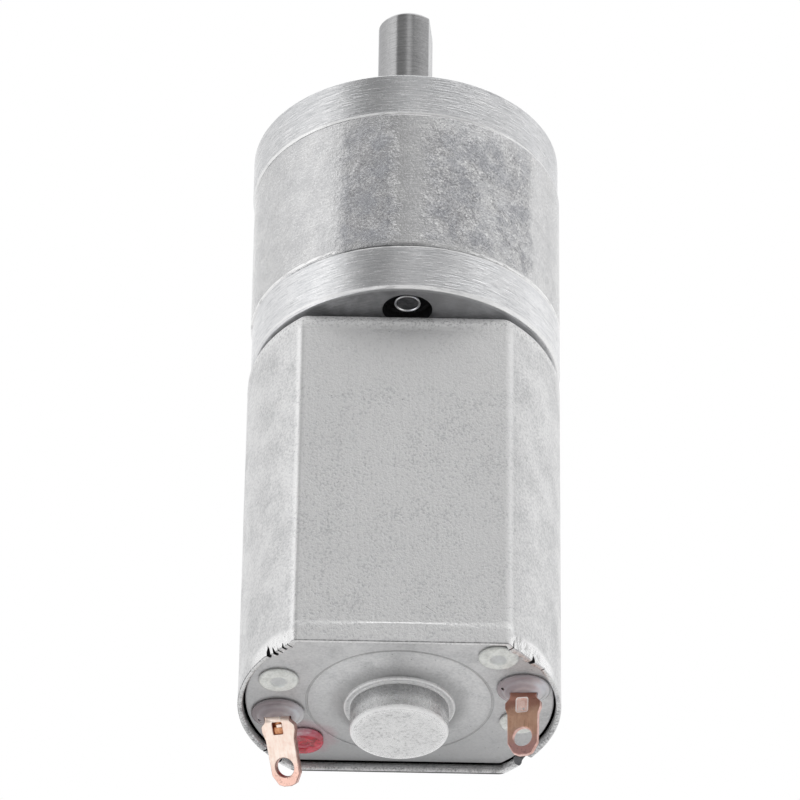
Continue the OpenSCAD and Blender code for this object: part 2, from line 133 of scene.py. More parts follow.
def from_rings(name, rings, wrap=False, caps=(None, None)):
    """A closed skin through rings of equal point counts. caps are centre points at the two ends."""
    rings = [np.asarray(r, float) for r in rings]
    n = len(rings[0])
    verts = np.concatenate(rings).tolist()
    faces = []
    m = len(rings)
    for i in range(m if wrap else m - 1):
        a, b = i * n, ((i + 1) % m) * n
        for k in range(n):
            k2 = (k + 1) % n
            faces.append((a + k, a + k2, b + k2, b + k))
    for end, c in zip((0, m - 1), caps):
        if c is None:
            continue
        if isinstance(c, str):
            faces.append(tuple(end * n + k for k in range(n)))
            continue
        verts.append(list(c))
        ci = len(verts) - 1
        for k in range(n):
            faces.append((end * n + k, end * n + (k + 1) % n, ci))
    return new_object(name, verts, faces)


def rounded(pts, closed=True, n=4, guard=0.03):
    """A polyline whose corners (x, y, radius) are rounded, with a guard point on each side of every
    corner, so that flat stretches keep their own normals under smooth shading."""
    out = []
    m = len(pts)
    for i, p in enumerate(pts):
        c = np.array(p[:2], float)
        rad = p[2] if len(p) > 2 else 0.02
        if not closed and i in (0, m - 1):
            out.append(tuple(c))
            continue
        a = np.array(pts[i - 1][:2], float)
        b = np.array(pts[(i + 1) % m][:2], float)
        da, db = a - c, b - c
        la, lb = np.linalg.norm(da), np.linalg.norm(db)
        da, db = da / la, db / lb
        cosang = float(np.clip(da @ db, -1, 1))
        ang = math.acos(cosang)
        if ang > math.pi - 1e-3 or rad <= 0:
            out.append(tuple(c))
            continue
        t = rad / math.tan(ang / 2)
        lim = 0.45 * min(la, lb)
        if t > lim:
            t = lim
            rad = t * math.tan(ang / 2)
        g = min(guard, 0.48 * min(la, lb) - t * 0.999)
        bis = (da + db)
        bis /= np.linalg.norm(bis)
        centre = c + bis * (rad / math.sin(ang / 2))
        p0, p1 = c + da * t, c + db * t
        a0 = math.atan2(*(p0 - centre)[::-1])
        a1 = math.atan2(*(p1 - centre)[::-1])
        d = (a1 - a0 + math.pi) % TAU - math.pi
        if g > 0.004:
            out.append(tuple(c + da * (t + g)))
        for k in range(n + 1):
            th = a0 + d * k / n
            out.append((centre[0] + rad * math.cos(th), centre[1] + rad * math.sin(th)))
        if g > 0.004:
            out.append(tuple(c + db * (t + g)))
    return out


def circle(r, z, n=256, c=(0, 0)):
    a = np.arange(n) * TAU / n
    return np.stack([c[0] + r * np.cos(a), c[1] + r * np.sin(a), np.full(n, float(z))], 1)


def lathe(name, profile, n=256, c=(0, 0), corners=4):
    """Solid of revolution about a line parallel to Z. The profile is (r, z[, corner radius]); if it
    starts and ends at r = 0 it is closed by the axis, else it is a closed loop."""
    on_axis = profile[0][0] == 0 and profile[-1][0] == 0
    if on_axis:
        pts = rounded(profile, closed=False, n=corners)
        mid = pts[1:-1]
        ends = [(c[0], c[1], pts[0][1]), (c[0], c[1], pts[-1][1])]
        return from_rings(name, [circle(r, z, n, c) for r, z in mid], caps=ends)
    pts = rounded(profile, closed=True, n=corners)
    return from_rings(name, [circle(r, z, n, c) for r, z in pts], wrap=True)


def offset_loop(pts, d):
    """A closed 2-D polygon moved to its left by d, with mitred corners."""
    p = np.asarray(pts, float)
    a, b = np.roll(p, 1, 0), np.roll(p, -1, 0)
    e0, e1 = p - a, b - p
    e0 /= np.linalg.norm(e0, axis=1)[:, None]
    e1 /= np.linalg.norm(e1, axis=1)[:, None]
    n0 = np.stack([-e0[:, 1], e0[:, 0]], 1)
    n1 = np.stack([-e1[:, 1], e1[:, 0]], 1)
    m = n0 + n1
    m /= np.maximum(np.einsum("ij,ij->i", m, n0), 0.25)[:, None]
    return p + m * d


def area2(p):
    p = np.asarray(p, float)
    q = np.roll(p, -1, 0)
    return float(np.sum(p[:, 0] * q[:, 1] - q[:, 0] * p[:, 1])) / 2


def slab(name, loops, z0, z1, guard=0.03, n=3):
    """A flat plate between z0 and z1. loops is [(points, edge radius), ...]: the outline first, then holes."""
    verts, faces = [], []
    rims = {0: [], 1: []}
    for i, (pts, b) in enumerate(loops):
        p = np.asarray(pts, float)
        ccw = area2(p) > 0
        if (i == 0) != ccw:
            p = p[::-1]
        # left of a ccw outline is inside; left of a cw hole is the material round it
        b = min(b, (z1 - z0) * 0.45)
        prof = [(b + guard, z0), ]
        prof += [(b - b * math.sin(k / n * math.pi / 2), z0 + b - b * math.cos(k / n * math.pi / 2)) for k in range(n + 1)]
        prof += [(0, z0 + b + min(guard, (z1 - z0) * 0.05)), (0, z1 - b - min(guard, (z1 - z0) * 0.05))]
        prof += [(b - b * math.cos(k / n * math.pi / 2), z1 - b + b * math.sin(k / n * math.pi / 2)) for k in range(n + 1)]
        prof += [(b + guard, z1)]
        start = len(verts)
        m = len(p)
        for d, z in prof:
            q = offset_loop(p, d)
            verts += [(x, y, z) for x, y in q]
        for j in range(len(prof) - 1):
            a, c = start + j * m, start + (j + 1) * m
            for k in range(m):
                k2 = (k + 1) % m
                faces.append((a + k, a + k2, c + k2, c + k))
        rims[0].append((start, m))
        rims[1].append((start + (len(prof) - 1) * m, m))
    me = bpy.data.meshes.new(name)
    me.from_pydata([tuple(map(float, v)) for v in verts], [], faces)
    bm = bmesh.new()
    bm.from_mesh(me)
    bm.verts.ensure_lookup_table()
    for side in (0, 1):
        edges = []
        for s, m in rims[side]:
            for k in range(m):
                e = bm.edges.get((bm.verts[s + k], bm.verts[s + (k + 1) % m]))
                edges.append(e)
        bmesh.ops.triangle_fill(bm, use_beauty=True, use_dissolve=False, edges=edges)
    bmesh.ops.recalc_face_normals(bm, faces=bm.faces)
    bm.to_mesh(me)
    bm.free()
    ob = bpy.data.objects.new(name, me)
    bpy.context.scene.collection.objects.link(ob)
    return ob


def boolean(ob, cutter, op="DIFFERENCE"):
    mod = ob.modifiers.new("b", "BOOLEAN")
    mod.operation, mod.object, mod.solver = op, cutter, "EXACT"
    dg = bpy.context.evaluated_depsgraph_get()
    me = bpy.data.meshes.new_from_object(ob.evaluated_get(dg))
    ob.modifiers.clear()
    old = ob.data
    ob.data = me
    bpy.data.meshes.remove(old)
    cm = cutter.data
    bpy.data.objects.remove(cutter)
    bpy.data.meshes.remove(cm)
    return ob


def box_object(name, lo, hi, turn=0.0, at=(0, 0, 0)):
    v = [(x, y, z) for x in (lo[0], hi[0]) for y in (lo[1], hi[1]) for z in (lo[2], hi[2])]
    c, s = math.cos(math.radians(turn)), math.sin(math.radians(turn))
    v = [(at[0] + x * c - y * s, at[1] + x * s + y * c, at[2] + z) for x, y, z in v]
    f = [(0, 1, 3, 2), (4, 6, 7, 5), (0, 4, 5, 1), (2, 3, 7, 6), (0, 2, 6, 4), (1, 5, 7, 3)]
    return new_object(name, v, f)


def join(ob, other):
    """Adds another object's mesh to ob's, as a separate shell."""
    bm = bmesh.new()
    bm.from_mesh(ob.data)
    bm.from_mesh(other.data)
    bm.to_mesh(ob.data)
    bm.free()
    me = other.data
    bpy.data.objects.remove(other)
    bpy.data.meshes.remove(me)
    return ob


def threaded_rod(name, c, z0, z1, r_in, r_out, pitch, n=64, per=8, end0=0.0, end1=0.0):
    """A rod with a V thread, tapering to r_in over the end lengths."""
    steps = max(2, int(round((z1 - z0) / pitch * per)))
    rings = []
    for i in range(steps + 1):
        z = z0 + (z1 - z0) * i / steps
        a = np.arange(n) * TAU / n
        ph = ((z - z0) / pitch - a / TAU) % 1.0
        tri = 1 - np.abs(2 * ph - 1)
        tri = np.clip(tri * 1.35 - 0.12, 0, 1)
        fade = 1.0
        if end0 > 0:
            fade = min(fade, (z - z0) / end0)
        if end1 > 0:
            fade = min(fade, (z1 - z) / end1)
        r = r_in + (r_out - r_in) * tri * max(0.0, min(1.0, fade))
        rings.append(np.stack([c[0] + r * np.cos(a), c[1] + r * np.sin(a), np.full(n, z)], 1))
    return rings


def finish_piece(ob, node, mats, sharp=32.0, extra=(), weighted=False):
    """Scales a piece to metres, shades it, gives it its materials and ties it to its CAD node."""
    me = ob.data
    me.transform(Matrix.Scale(0.001, 4))
    me.materials.clear()
    for m in mats:
        me.materials.append(m)
    me.shade_smooth()
    me.set_sharp_from_angle(angle=math.radians(sharp))
    me.update()
    if weighted:
        w = ob.modifiers.new("Normals", "WEIGHTED_NORMAL")
        w.keep_sharp = True
        w.weight = 100
    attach(ob, NODES[node]["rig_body"])
    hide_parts(node, *extra)
    return ob


def smoothstep(a, b, x):
    t = np.clip((x - a) / (b - a), 0, 1)
    return t * t * (3 - 2 * t)


# ---------------------------------------------------------------- flat-round outline of the can
def outline(r, h, rc, stations):
    """Points of a circle of radius r cut by two flats at y = +-h, with corners of radius rc.
    stations are numbers 0..4 per quadrant-pair: see make_stations."""
    rc = max(rc, 0.02)
    cx = math.sqrt((r - rc) ** 2 - (h - rc) ** 2)
    a = math.atan2(h - rc, cx)
    out = []
    for kind, q, t in stations:
        # q: quadrant sign pair; kind: 'r' round, 'c' corner, 'f' flat
        sx, sy = q
        if kind == "r":
            ang = t * a
            x, y = r * math.cos(ang), r * math.sin(ang)
        elif kind == "c":
            ang = a + t * (math.pi / 2 - a)
            x, y = cx + rc * math.cos(ang), (h - rc) + rc * math.sin(ang)
        else:
            x, y = t * cx, h
        out.append((sx * x, sy * y))
    return np.array(out)


def make_stations(round_ts, corner_ts, flat_ts):
    """Counter-clockwise stations from +X. Each *_ts is a sorted list in 0..1 for one quadrant."""
    quad = []
    quad += [("r", t) for t in round_ts]
    quad += [("c", t) for t in corner_ts]
    quad += [("f", t) for t in flat_ts]
    s = []
    for (sx, sy, rev) in ((1, 1, False), (-1, 1, True), (-1, -1, False), (1, -1, True)):
        q = [(k, (sx, sy), t) for k, t in quad]
        # drop duplicates on the axes
        if rev:
            q = q[::-1]
            q = q[1:] if q[0][2] == 0 and q[0][0] == "f" else q
        else:
            q = q if sx == 1 else (q[1:] if q[0][2] == 0 and q[0][0] == "r" else q)
        s += q
    if s[-1][0] == "r" and s[-1][2] == 0:
        s = s[:-1]
    return s


# ---------------------------------------------------------------- materials
class Mat:
    """Small helper for node trees. Lengths in the trees are millimetres."""

    def __init__(self, name):
        self.m = bpy.data.materials.new(name)
        self.m.use_nodes = True
        self.t = self.m.node_tree
        self.b = self.t.nodes["Principled BSDF"]
        self.coord = self.t.nodes.new("ShaderNodeTexCoord")
        mp = self.t.nodes.new("ShaderNodeMapping")
        mp.inputs["Scale"].default_value = (1000, 1000, 1000)
        self.t.links.new(self.coord.outputs["Object"], mp.inputs["Vector"])
        self.p = mp.outputs["Vector"]

    def put(self, sock, v):
        if isinstance(v, bpy.types.NodeSocket):
            self.t.links.new(v, sock)
        else:
            sock.default_value = v

    def math(self, op, a, b=0.0, c=0.0, clamp=False):
        n = self.t.nodes.new("ShaderNodeMath")
        n.operation, n.use_clamp = op, clamp
        self.put(n.inputs[0], a)
        self.put(n.inputs[1], b)
        self.put(n.inputs[2], c)
        return n.outputs[0]

    def vmath(self, op, a, b=(0, 0, 0), scale=1.0):
        n = self.t.nodes.new("ShaderNodeVectorMath")
        n.operation = op
        self.put(n.inputs[0], a)
        self.put(n.inputs[1], b)
        if op == "SCALE":
            self.put(n.inputs["Scale"], scale)
        return n.outputs["Value"] if op in ("LENGTH", "DISTANCE", "DOT_PRODUCT") else n.outputs["Vector"]

    def sep(self, v=None):
        n = self.t.nodes.new("ShaderNodeSeparateXYZ")
        self.put(n.inputs[0], v or self.p)
        return n.outputs

    def comb(self, x, y, z):
        n = self.t.nodes.new("ShaderNodeCombineXYZ")
        for i, v in enumerate((x, y, z)):
            self.put(n.inputs[i], v)
        return n.outputs[0]

    def noise(self, v, scale, detail=2.0, rough=0.5, dist=0.0, lac=2.0):
        n = self.t.nodes.new("ShaderNodeTexNoise")
        self.put(n.inputs["Vector"], v)
        n.inputs["Scale"].default_value = scale
        n.inputs["Detail"].default_value = detail
        n.inputs["Roughness"].default_value = rough
        n.inputs["Distortion"].default_value = dist
        n.inputs["Lacunarity"].default_value = lac
        return n.outputs[0]

    def voronoi(self, v, scale, feature="F1", rand=1.0):
        n = self.t.nodes.new("ShaderNodeTexVoronoi")
        n.feature = feature
        self.put(n.inputs["Vector"], v)
        n.inputs["Scale"].default_value = scale
        n.inputs["Randomness"].default_value = rand
        return n.outputs

    def ramp(self, f, stops, interp="LINEAR"):
        n = self.t.nodes.new("ShaderNodeValToRGB")
        n.color_ramp.interpolation = interp
        els = n.color_ramp.elements
        while len(els) > 1:
            els.remove(els[-1])
        for i, (pos, col) in enumerate(stops):
            e = els[0] if i == 0 else els.new(pos)
            e.position = pos
            e.color = (*col, 1) if len(col) == 3 else col
        self.put(n.inputs[0], f)
        return n.outputs["Color"]

    def rng(self, f, a, b, c, d, smooth=False, clamp=True):
        n = self.t.nodes.new("ShaderNodeMapRange")
        n.interpolation_type = "SMOOTHSTEP" if smooth else "LINEAR"
        n.clamp = clamp
        for i, v in enumerate((f, a, b, c, d)):
            self.put(n.inputs[i], v)
        return n.outputs[0]

    def mix(self, f, a, b, mode="MIX"):
        n = self.t.nodes.new("ShaderNodeMix")
        n.data_type, n.blend_type = "RGBA", mode
        self.put(n.inputs[0], f)
        self.put(n.inputs[6], (*a, 1) if isinstance(a, tuple) and len(a) == 3 else a)
        self.put(n.inputs[7], (*b, 1) if isinstance(b, tuple) and len(b) == 3 else b)
        return n.outputs[2]

    def bump(self, h, dist, strength=1.0, normal=None):
        n = self.t.nodes.new("ShaderNodeBump")
        n.inputs["Strength"].default_value = strength
        n.inputs["Distance"].default_value = dist * 0.001
        self.put(n.inputs["Height"], h)
        if normal is not None:
            self.put(n.inputs["Normal"], normal)
        return n.outputs[0]

    def set(self, **k):
        for name, v in k.items():
            s = self.b.inputs[name.replace("_", " ")]
            self.put(s, (*v, 1) if isinstance(v, tuple) and len(v) == 3 and s.type == "RGBA" else v)
        return self

    def tangent(self):
        n = self.t.nodes.new("ShaderNodeTangent")
        n.direction_type, n.axis = "RADIAL", "Z"
        self.t.links.new(n.outputs[0], self.b.inputs["Tangent"])
        return self

    def turned(self, k=12.0):
        """Coordinates in which noise makes streaks round the axis, on walls and on faces alike."""
        s = self.sep()
        r = self.vmath("LENGTH", self.comb(s[0], s[1], 0.0))
        return self.comb(s[0], s[1], self.math("MULTIPLY", self.math("ADD", s[2], r), k))


def turned_steel(name="turned_steel", rough=(0.36, 0.22), tone=1.0, low=None, high=None, wide=0.14, mid=0.0):
    m = Mat(name)
    fine = m.noise(m.turned(9), 1.0, 3, 0.62)
    hair = m.noise(m.turned(24), 0.55, 2, 0.5)
    blot = m.noise(m.p, 0.42, 4, 0.6)
    grain = m.noise(m.p, 6.0, 3, 0.7)
    f = m.math("ADD", m.math("MULTIPLY", fine, 0.5), m.math("ADD", m.math("MULTIPLY", hair, 0.25), m.math("MULTIPLY", grain, 0.25)))
    col = m.ramp(f, [(0.34, (0.48 * tone, 0.485 * tone, 0.495 * tone)), (0.46, (0.68 * tone, 0.685 * tone, 0.695 * tone)),
                     (0.56, (0.79 * tone, 0.79 * tone, 0.80 * tone)), (0.70, (0.95 * tone, 0.95 * tone, 0.955 * tone))])
    col = m.mix(m.rng(blot, 0.40, 0.66, 0.0, 0.35), col, (0.60 * tone, 0.61 * tone, 0.63 * tone))
    s = m.sep()
    r = m.vmath("LENGTH", m.comb(s[0], s[1], 0.0))
    # with mid set, the middle of the part in x is painted darker, as a painted dark reflection
    if mid:
        col = m.mix(m.rng(m.math("ABSOLUTE", m.math("SUBTRACT", s[0], 0.5)), 1.5, 4.5, mid, 0.0, True), col, (0.44, 0.44, 0.45))
    if low is not None:
        # the lower edge, and the upper edge when high is given, are painted bright as a highlight; the face beyond the
        # lower edge is dull and painted darker in patches, as shade
        edge_highlight = m.math("MULTIPLY", m.rng(s[2], low + wide - 0.02, low + wide + 0.02, 1.0, 0.0), m.rng(r, R - 0.22, R - 0.18, 0.0, 1.0))
        if high is not None:
            near = m.math("MULTIPLY", m.rng(s[2], high - 0.21, high - 0.17, 0.0, 1.0), m.rng(r, R - 0.12, R - 0.08, 0.0, 1.0))
            edge_highlight = m.math("MAXIMUM", edge_highlight, near)
        edge_highlight = m.math("MULTIPLY", edge_highlight, m.rng(m.noise(m.turned(3), 1.2, 3, 0.6), 0.34, 0.46, 0.45, 1.0))
        col = m.mix(edge_highlight, col, (1.0, 1.0, 1.0))
        front = m.math("MULTIPLY", m.rng(m.math("ABSOLUTE", s[0]), 4.2, 6.0, 1.0, 0.0), m.math("LESS_THAN", s[1], 0.0))
        # the face beyond the lower edge is painted darker in patches, as shade
        dull_and_shaded = m.math("MULTIPLY", m.rng(s[2], low + 0.01, low + 0.03, 1.0, 0.0), m.rng(r, R - 0.22, R - 0.5, 0.0, 1.0))
        patchy_shade = m.math("MULTIPLY", m.rng(m.noise(m.p, 0.9, 4, 0.6), 0.36, 0.64, 0.82, 0.45), dull_and_shaded)
        col = m.mix(patchy_shade, col, m.mix(m.rng(s[0], 0.3, 3.2, 0.0, 1.0, True), (0.31, 0.31, 0.32), (0.50, 0.50, 0.51)))
    h = m.math("ADD", fine, m.math("MULTIPLY", hair, 0.45))
    h = m.math("MULTIPLY", h, m.rng(m.noise(m.p, 0.28, 3), 0.38, 0.62, 0.5, 1.0))
    n1 = m.bump(h, 0.036, 1.0)
    n2 = m.bump(grain, 0.010, 1.0, n1)
    ro = m.rng(f, 0.3, 0.7, *rough)
    me = 1.0
    if low is not None:
        ro = m.math("MAXIMUM", ro, m.math("MAXIMUM", m.math("MULTIPLY", edge_highlight, m.math("MULTIPLY_ADD", front, 0.18, 0.27)), m.math("MULTIPLY", dull_and_shaded, 0.58)))
        me = m.math("MULTIPLY_ADD", m.math("MULTIPLY", edge_highlight, m.math("MULTIPLY_ADD", front, 0.75, 0.10)), -1.0, 1.0)
    m.set(Base_Color=col, Metallic=me, Roughness=ro, Normal=n2)
    return m.m


def rim_edge():
    """The rim's outer corner: darker on the left, lighter on the right, and painted near black on the far side as
    shade, where its bright grains fade too.
    """
    m = Mat("rim_edge")
    grain = m.noise(m.p, 6.0, 4, 0.7)
    s = m.sep()
    tone = m.mix(m.rng(s[0], -9.0, -7.0, 1.0, 0.0), (0.42, 0.42, 0.425), (0.22, 0.22, 0.225))
    tone = m.mix(m.rng(s[0], 7.5, 9.0, 0.0, 1.0), tone, (0.85, 0.85, 0.85))
    # the far side is painted near black, as shade
    tone = m.mix(m.rng(s[1], 4.5, 7.0, 0.0, 1.0), tone, (0.05, 0.05, 0.052))
    far = m.rng(s[1], 5.5, 7.0, 1.0, 0.12)
    col = m.mix(m.math("MULTIPLY", m.rng(grain, 0.46, 0.60, 0.0, 0.65), far), tone, (0.95, 0.95, 0.95))
    m.set(Base_Color=col, Metallic=1.0, Roughness=m.rng(grain, 0.3, 0.7, 0.28, 0.45), Normal=m.bump(grain, 0.02))
    return m.m


def cut_edge():
    """Sheared sheet: bright burnished grains on a dull break, lighter towards the outer edge and painted lighter on the
    near side, as light; painted near black along the far inner edge, as shade.
    """
    m = Mat("cut_edge")
    grain = m.noise(m.p, 7.0, 3, 0.75)
    cloud = m.noise(m.p, 2.0, 3, 0.6)
    f = m.math("ADD", m.math("MULTIPLY", grain, 0.7), m.math("MULTIPLY", cloud, 0.3))
    s = m.sep()
    out = m.math("MAXIMUM", m.rng(m.vmath("LENGTH", m.comb(s[0], s[1], 0.0)), IN_R + 0.05, IN_R + 0.32, 0.0, 1.0),
                 m.rng(m.math("ABSOLUTE", s[1]), IN_HALF + 0.05, IN_HALF + 0.32, 0.0, 1.0))
    # the near side is painted lighter, as light
    near = m.rng(s[1], -7.0, 3.0, 1.0, 0.0)
    f2 = m.math("ADD", f, m.math("MULTIPLY", m.math("ADD", m.math("MULTIPLY", out, 0.75), near), 0.16))
    far = m.rng(s[1], 5.5, 7.0, 0.0, 1.0)
    f2 = m.math("ADD", f2, m.math("MULTIPLY", far, 0.10))
    col = m.ramp(f2, [(0.34, (0.20, 0.20, 0.205)), (0.50, (0.48, 0.48, 0.485)), (0.60, (0.78, 0.78, 0.78)), (0.74, (1.0, 1.0, 1.0))])
    # the far inner edge is painted near black, as shade
    col = m.mix(m.math("MULTIPLY", far, m.rng(m.math("ABSOLUTE", s[1]), HALF - 0.225, HALF - 0.185, 0.0, 0.9)), col, (0.03, 0.03, 0.031))
    m.set(Base_Color=col, Metallic=m.math("MULTIPLY_ADD", far, -0.55, 1.0), Roughness=m.rng(f, 0.35, 0.65, 0.44, 0.26), Normal=m.bump(f, 0.03))
    return m.m


def bore_dark():
    # near black, painted in as the shade down bores and pits
    m = Mat("bore_shade")
    grain = m.noise(m.p, 5.0, 3, 0.7)
    m.set(Base_Color=m.ramp(grain, [(0.3, (0.008, 0.008, 0.009)), (0.7, (0.03, 0.03, 0.032))]), Roughness=m.rng(grain, 0.3, 0.7, 0.6, 0.45),
          Normal=m.bump(m.noise(m.turned(12), 1.0, 2), 0.02))
    return m.m


def sintered_ring():
    m = Mat("sintered_ring")
    blot = m.noise(m.p, 0.30, 4, 0.62, 0.3)
    cloud = m.noise(m.p, 1.1, 4, 0.65)
    worm = m.noise(m.p, 6.8, 3, 0.65, 0.4)
    grain = m.noise(m.p, 12.0, 2, 0.6)
    streak = m.noise(m.turned(9), 0.8, 3, 0.6)
    pits = m.voronoi(m.p, 3.2)[0]
    s = m.sep()
    # the turned ends of the ring are smoother than its middle
    mid = m.math("MULTIPLY", m.rng(s[2], Z_CAP - 0.3, Z_CAP - 2.0, 0.0, 1.0, True), m.rng(s[2], Z_RING + 0.1, Z_RING + 0.9, 0.0, 1.0, True))
    az = m.math("MULTIPLY", m.math("ARCTAN2", s[0], m.math("MULTIPLY", s[1], -1.0)), 180 / math.pi)
    az = m.math("ADD", az, m.math("MULTIPLY", m.math("SUBTRACT", cloud, 0.5), 10.0))
    one = m.math("MULTIPLY", m.rng(az, -27.0, -23.0, 0.0, 1.0), m.rng(az, -8.0, -3.0, 1.0, 0.0))
    two = m.math("MULTIPLY", m.rng(az, 5.0, 10.0, 0.0, 1.0), m.rng(az, 50.0, 54.0, 1.0, 0.0))
    back = m.math("MULTIPLY", m.rng(m.math("ABSOLUTE", az), 92.0, 112.0, 0.0, 1.0), m.rng(blot, 0.44, 0.56, 0.0, 1.0, True))
    clear = m.noise(m.vmath("ADD", m.p, (3.0, 9.0, 5.0)), 0.42, 4, 0.62, 0.2)
    zone = m.math("MAXIMUM", m.math("MAXIMUM", one, two), back)
    zone = m.math("MULTIPLY", zone, m.math("MULTIPLY", m.math("MULTIPLY_ADD", mid, 0.65, 0.35), m.rng(clear, 0.50, 0.62, 1.0, 0.35, True)))
    patch = m.rng(blot, 0.30, 0.50, 0.55, 1.0, True)
    patch = m.math("MULTIPLY", patch, m.math("MULTIPLY_ADD", zone, 0.80, 0.20))
    f = m.math("ADD", m.math("MULTIPLY", cloud, 0.40), m.math("ADD", m.math("MULTIPLY", worm, 0.35), m.math("MULTIPLY", grain, 0.25)))
    col = m.ramp(m.math("ADD", m.math("MULTIPLY", f, 0.6), m.math("MULTIPLY", worm, 0.4)), [(0.38, (0.30, 0.30, 0.312)), (0.46, (0.49, 0.49, 0.50)), (0.54, (0.67, 0.67, 0.675)), (0.62, (0.90, 0.90, 0.90))])
    col = m.mix(m.math("MULTIPLY", one, 0.42), col, (0.32, 0.32, 0.33))
    stain = m.noise(m.vmath("ADD", m.p, (7.0, 3.0, 1.0)), 0.62, 4, 0.62, 0.3)
    col = m.mix(m.math("MULTIPLY_ADD", zone, -0.7, 0.7), col, m.ramp(m.noise(m.p, 0.9, 4, 0.6), [(0.35, (0.68, 0.68, 0.685)), (0.65, (0.80, 0.80, 0.80))]))
    col = m.mix(m.math("MULTIPLY", m.math("MULTIPLY", patch, m.rng(stain, 0.40, 0.60, 0.0, 1.0, True)), 0.42), col, (0.38, 0.395, 0.435))
    h = m.math("ADD", m.math("MULTIPLY", worm, 1.0), m.math("MULTIPLY", grain, 0.35))
    h = m.math("SUBTRACT", h, m.rng(pits, 0.0, 0.14, 0.5, 0.0))
    h = m.math("MULTIPLY", h, patch)
    h = m.math("ADD", h, m.math("MULTIPLY", streak, 0.16))
    # the ring's lower edge is painted white as a highlight, except across the middle of the front
    edge = m.math("MULTIPLY", m.rng(s[2], Z_RING + 0.15, Z_RING + 0.18, 1.0, 0.0), m.rng(m.noise(m.turned(3), 1.2, 3, 0.6), 0.34, 0.46, 0.35, 1.0))
    edge = m.math("MULTIPLY", edge, m.math("MAXIMUM", m.rng(az, -24.0, -28.0, 0.0, 1.0), m.rng(az, 3.0, 10.0, 0.0, 1.0)))
    col = m.mix(edge, col, (1.0, 1.0, 1.0))
    h = m.math("MULTIPLY", h, m.math("MULTIPLY_ADD", edge, -0.8, 1.0))
    n1 = m.bump(h, 0.135, 1.0)
    m.set(Base_Color=col, Metallic=1.0, Roughness=m.rng(f, 0.35, 0.65, 0.29, 0.18), Normal=n1)
    return m.m


def ground_steel(name="ground_steel", tone=1.0):
    m = Mat(name)
    fine = m.noise(m.turned(26), 0.7, 3, 0.6)
    grain = m.noise(m.p, 5.0, 4, 0.7)
    blot = m.noise(m.p, 0.8, 3, 0.6)
    f = m.math("ADD", m.math("MULTIPLY", fine, 0.6), m.math("MULTIPLY", grain, 0.4))
    col = m.ramp(f, [(0.35, (0.42 * tone, 0.42 * tone, 0.425 * tone)), (0.5, (0.51 * tone, 0.51 * tone, 0.515 * tone)), (0.68, (0.62 * tone, 0.62 * tone, 0.625 * tone))])
    n1 = m.bump(f, 0.0045, 1.0)
    m.set(Base_Color=col, Metallic=1.0, Roughness=m.rng(blot, 0.3, 0.7, 0.10, 0.17), Normal=n1)
    m.b.inputs["Specular Tint"].default_value = (0.72, 0.72, 0.73, 1.0)
    return m.m


def screw_steel(name="screw_steel", tone=0.45):
    m = Mat(name)
    grain = m.noise(m.p, 6.0, 4, 0.7)
    blot = m.noise(m.p, 1.4, 3, 0.6)
    col = m.ramp(blot, [(0.3, (tone * 0.72, tone * 0.74, tone * 0.8)), (0.7, (tone * 1.35, tone * 1.35, tone * 1.4))])
    m.set(Base_Color=col, Metallic=1.0, Roughness=m.rng(grain, 0.3, 0.7, 0.24, 0.4), Normal=m.bump(grain, 0.006))
    return m.m


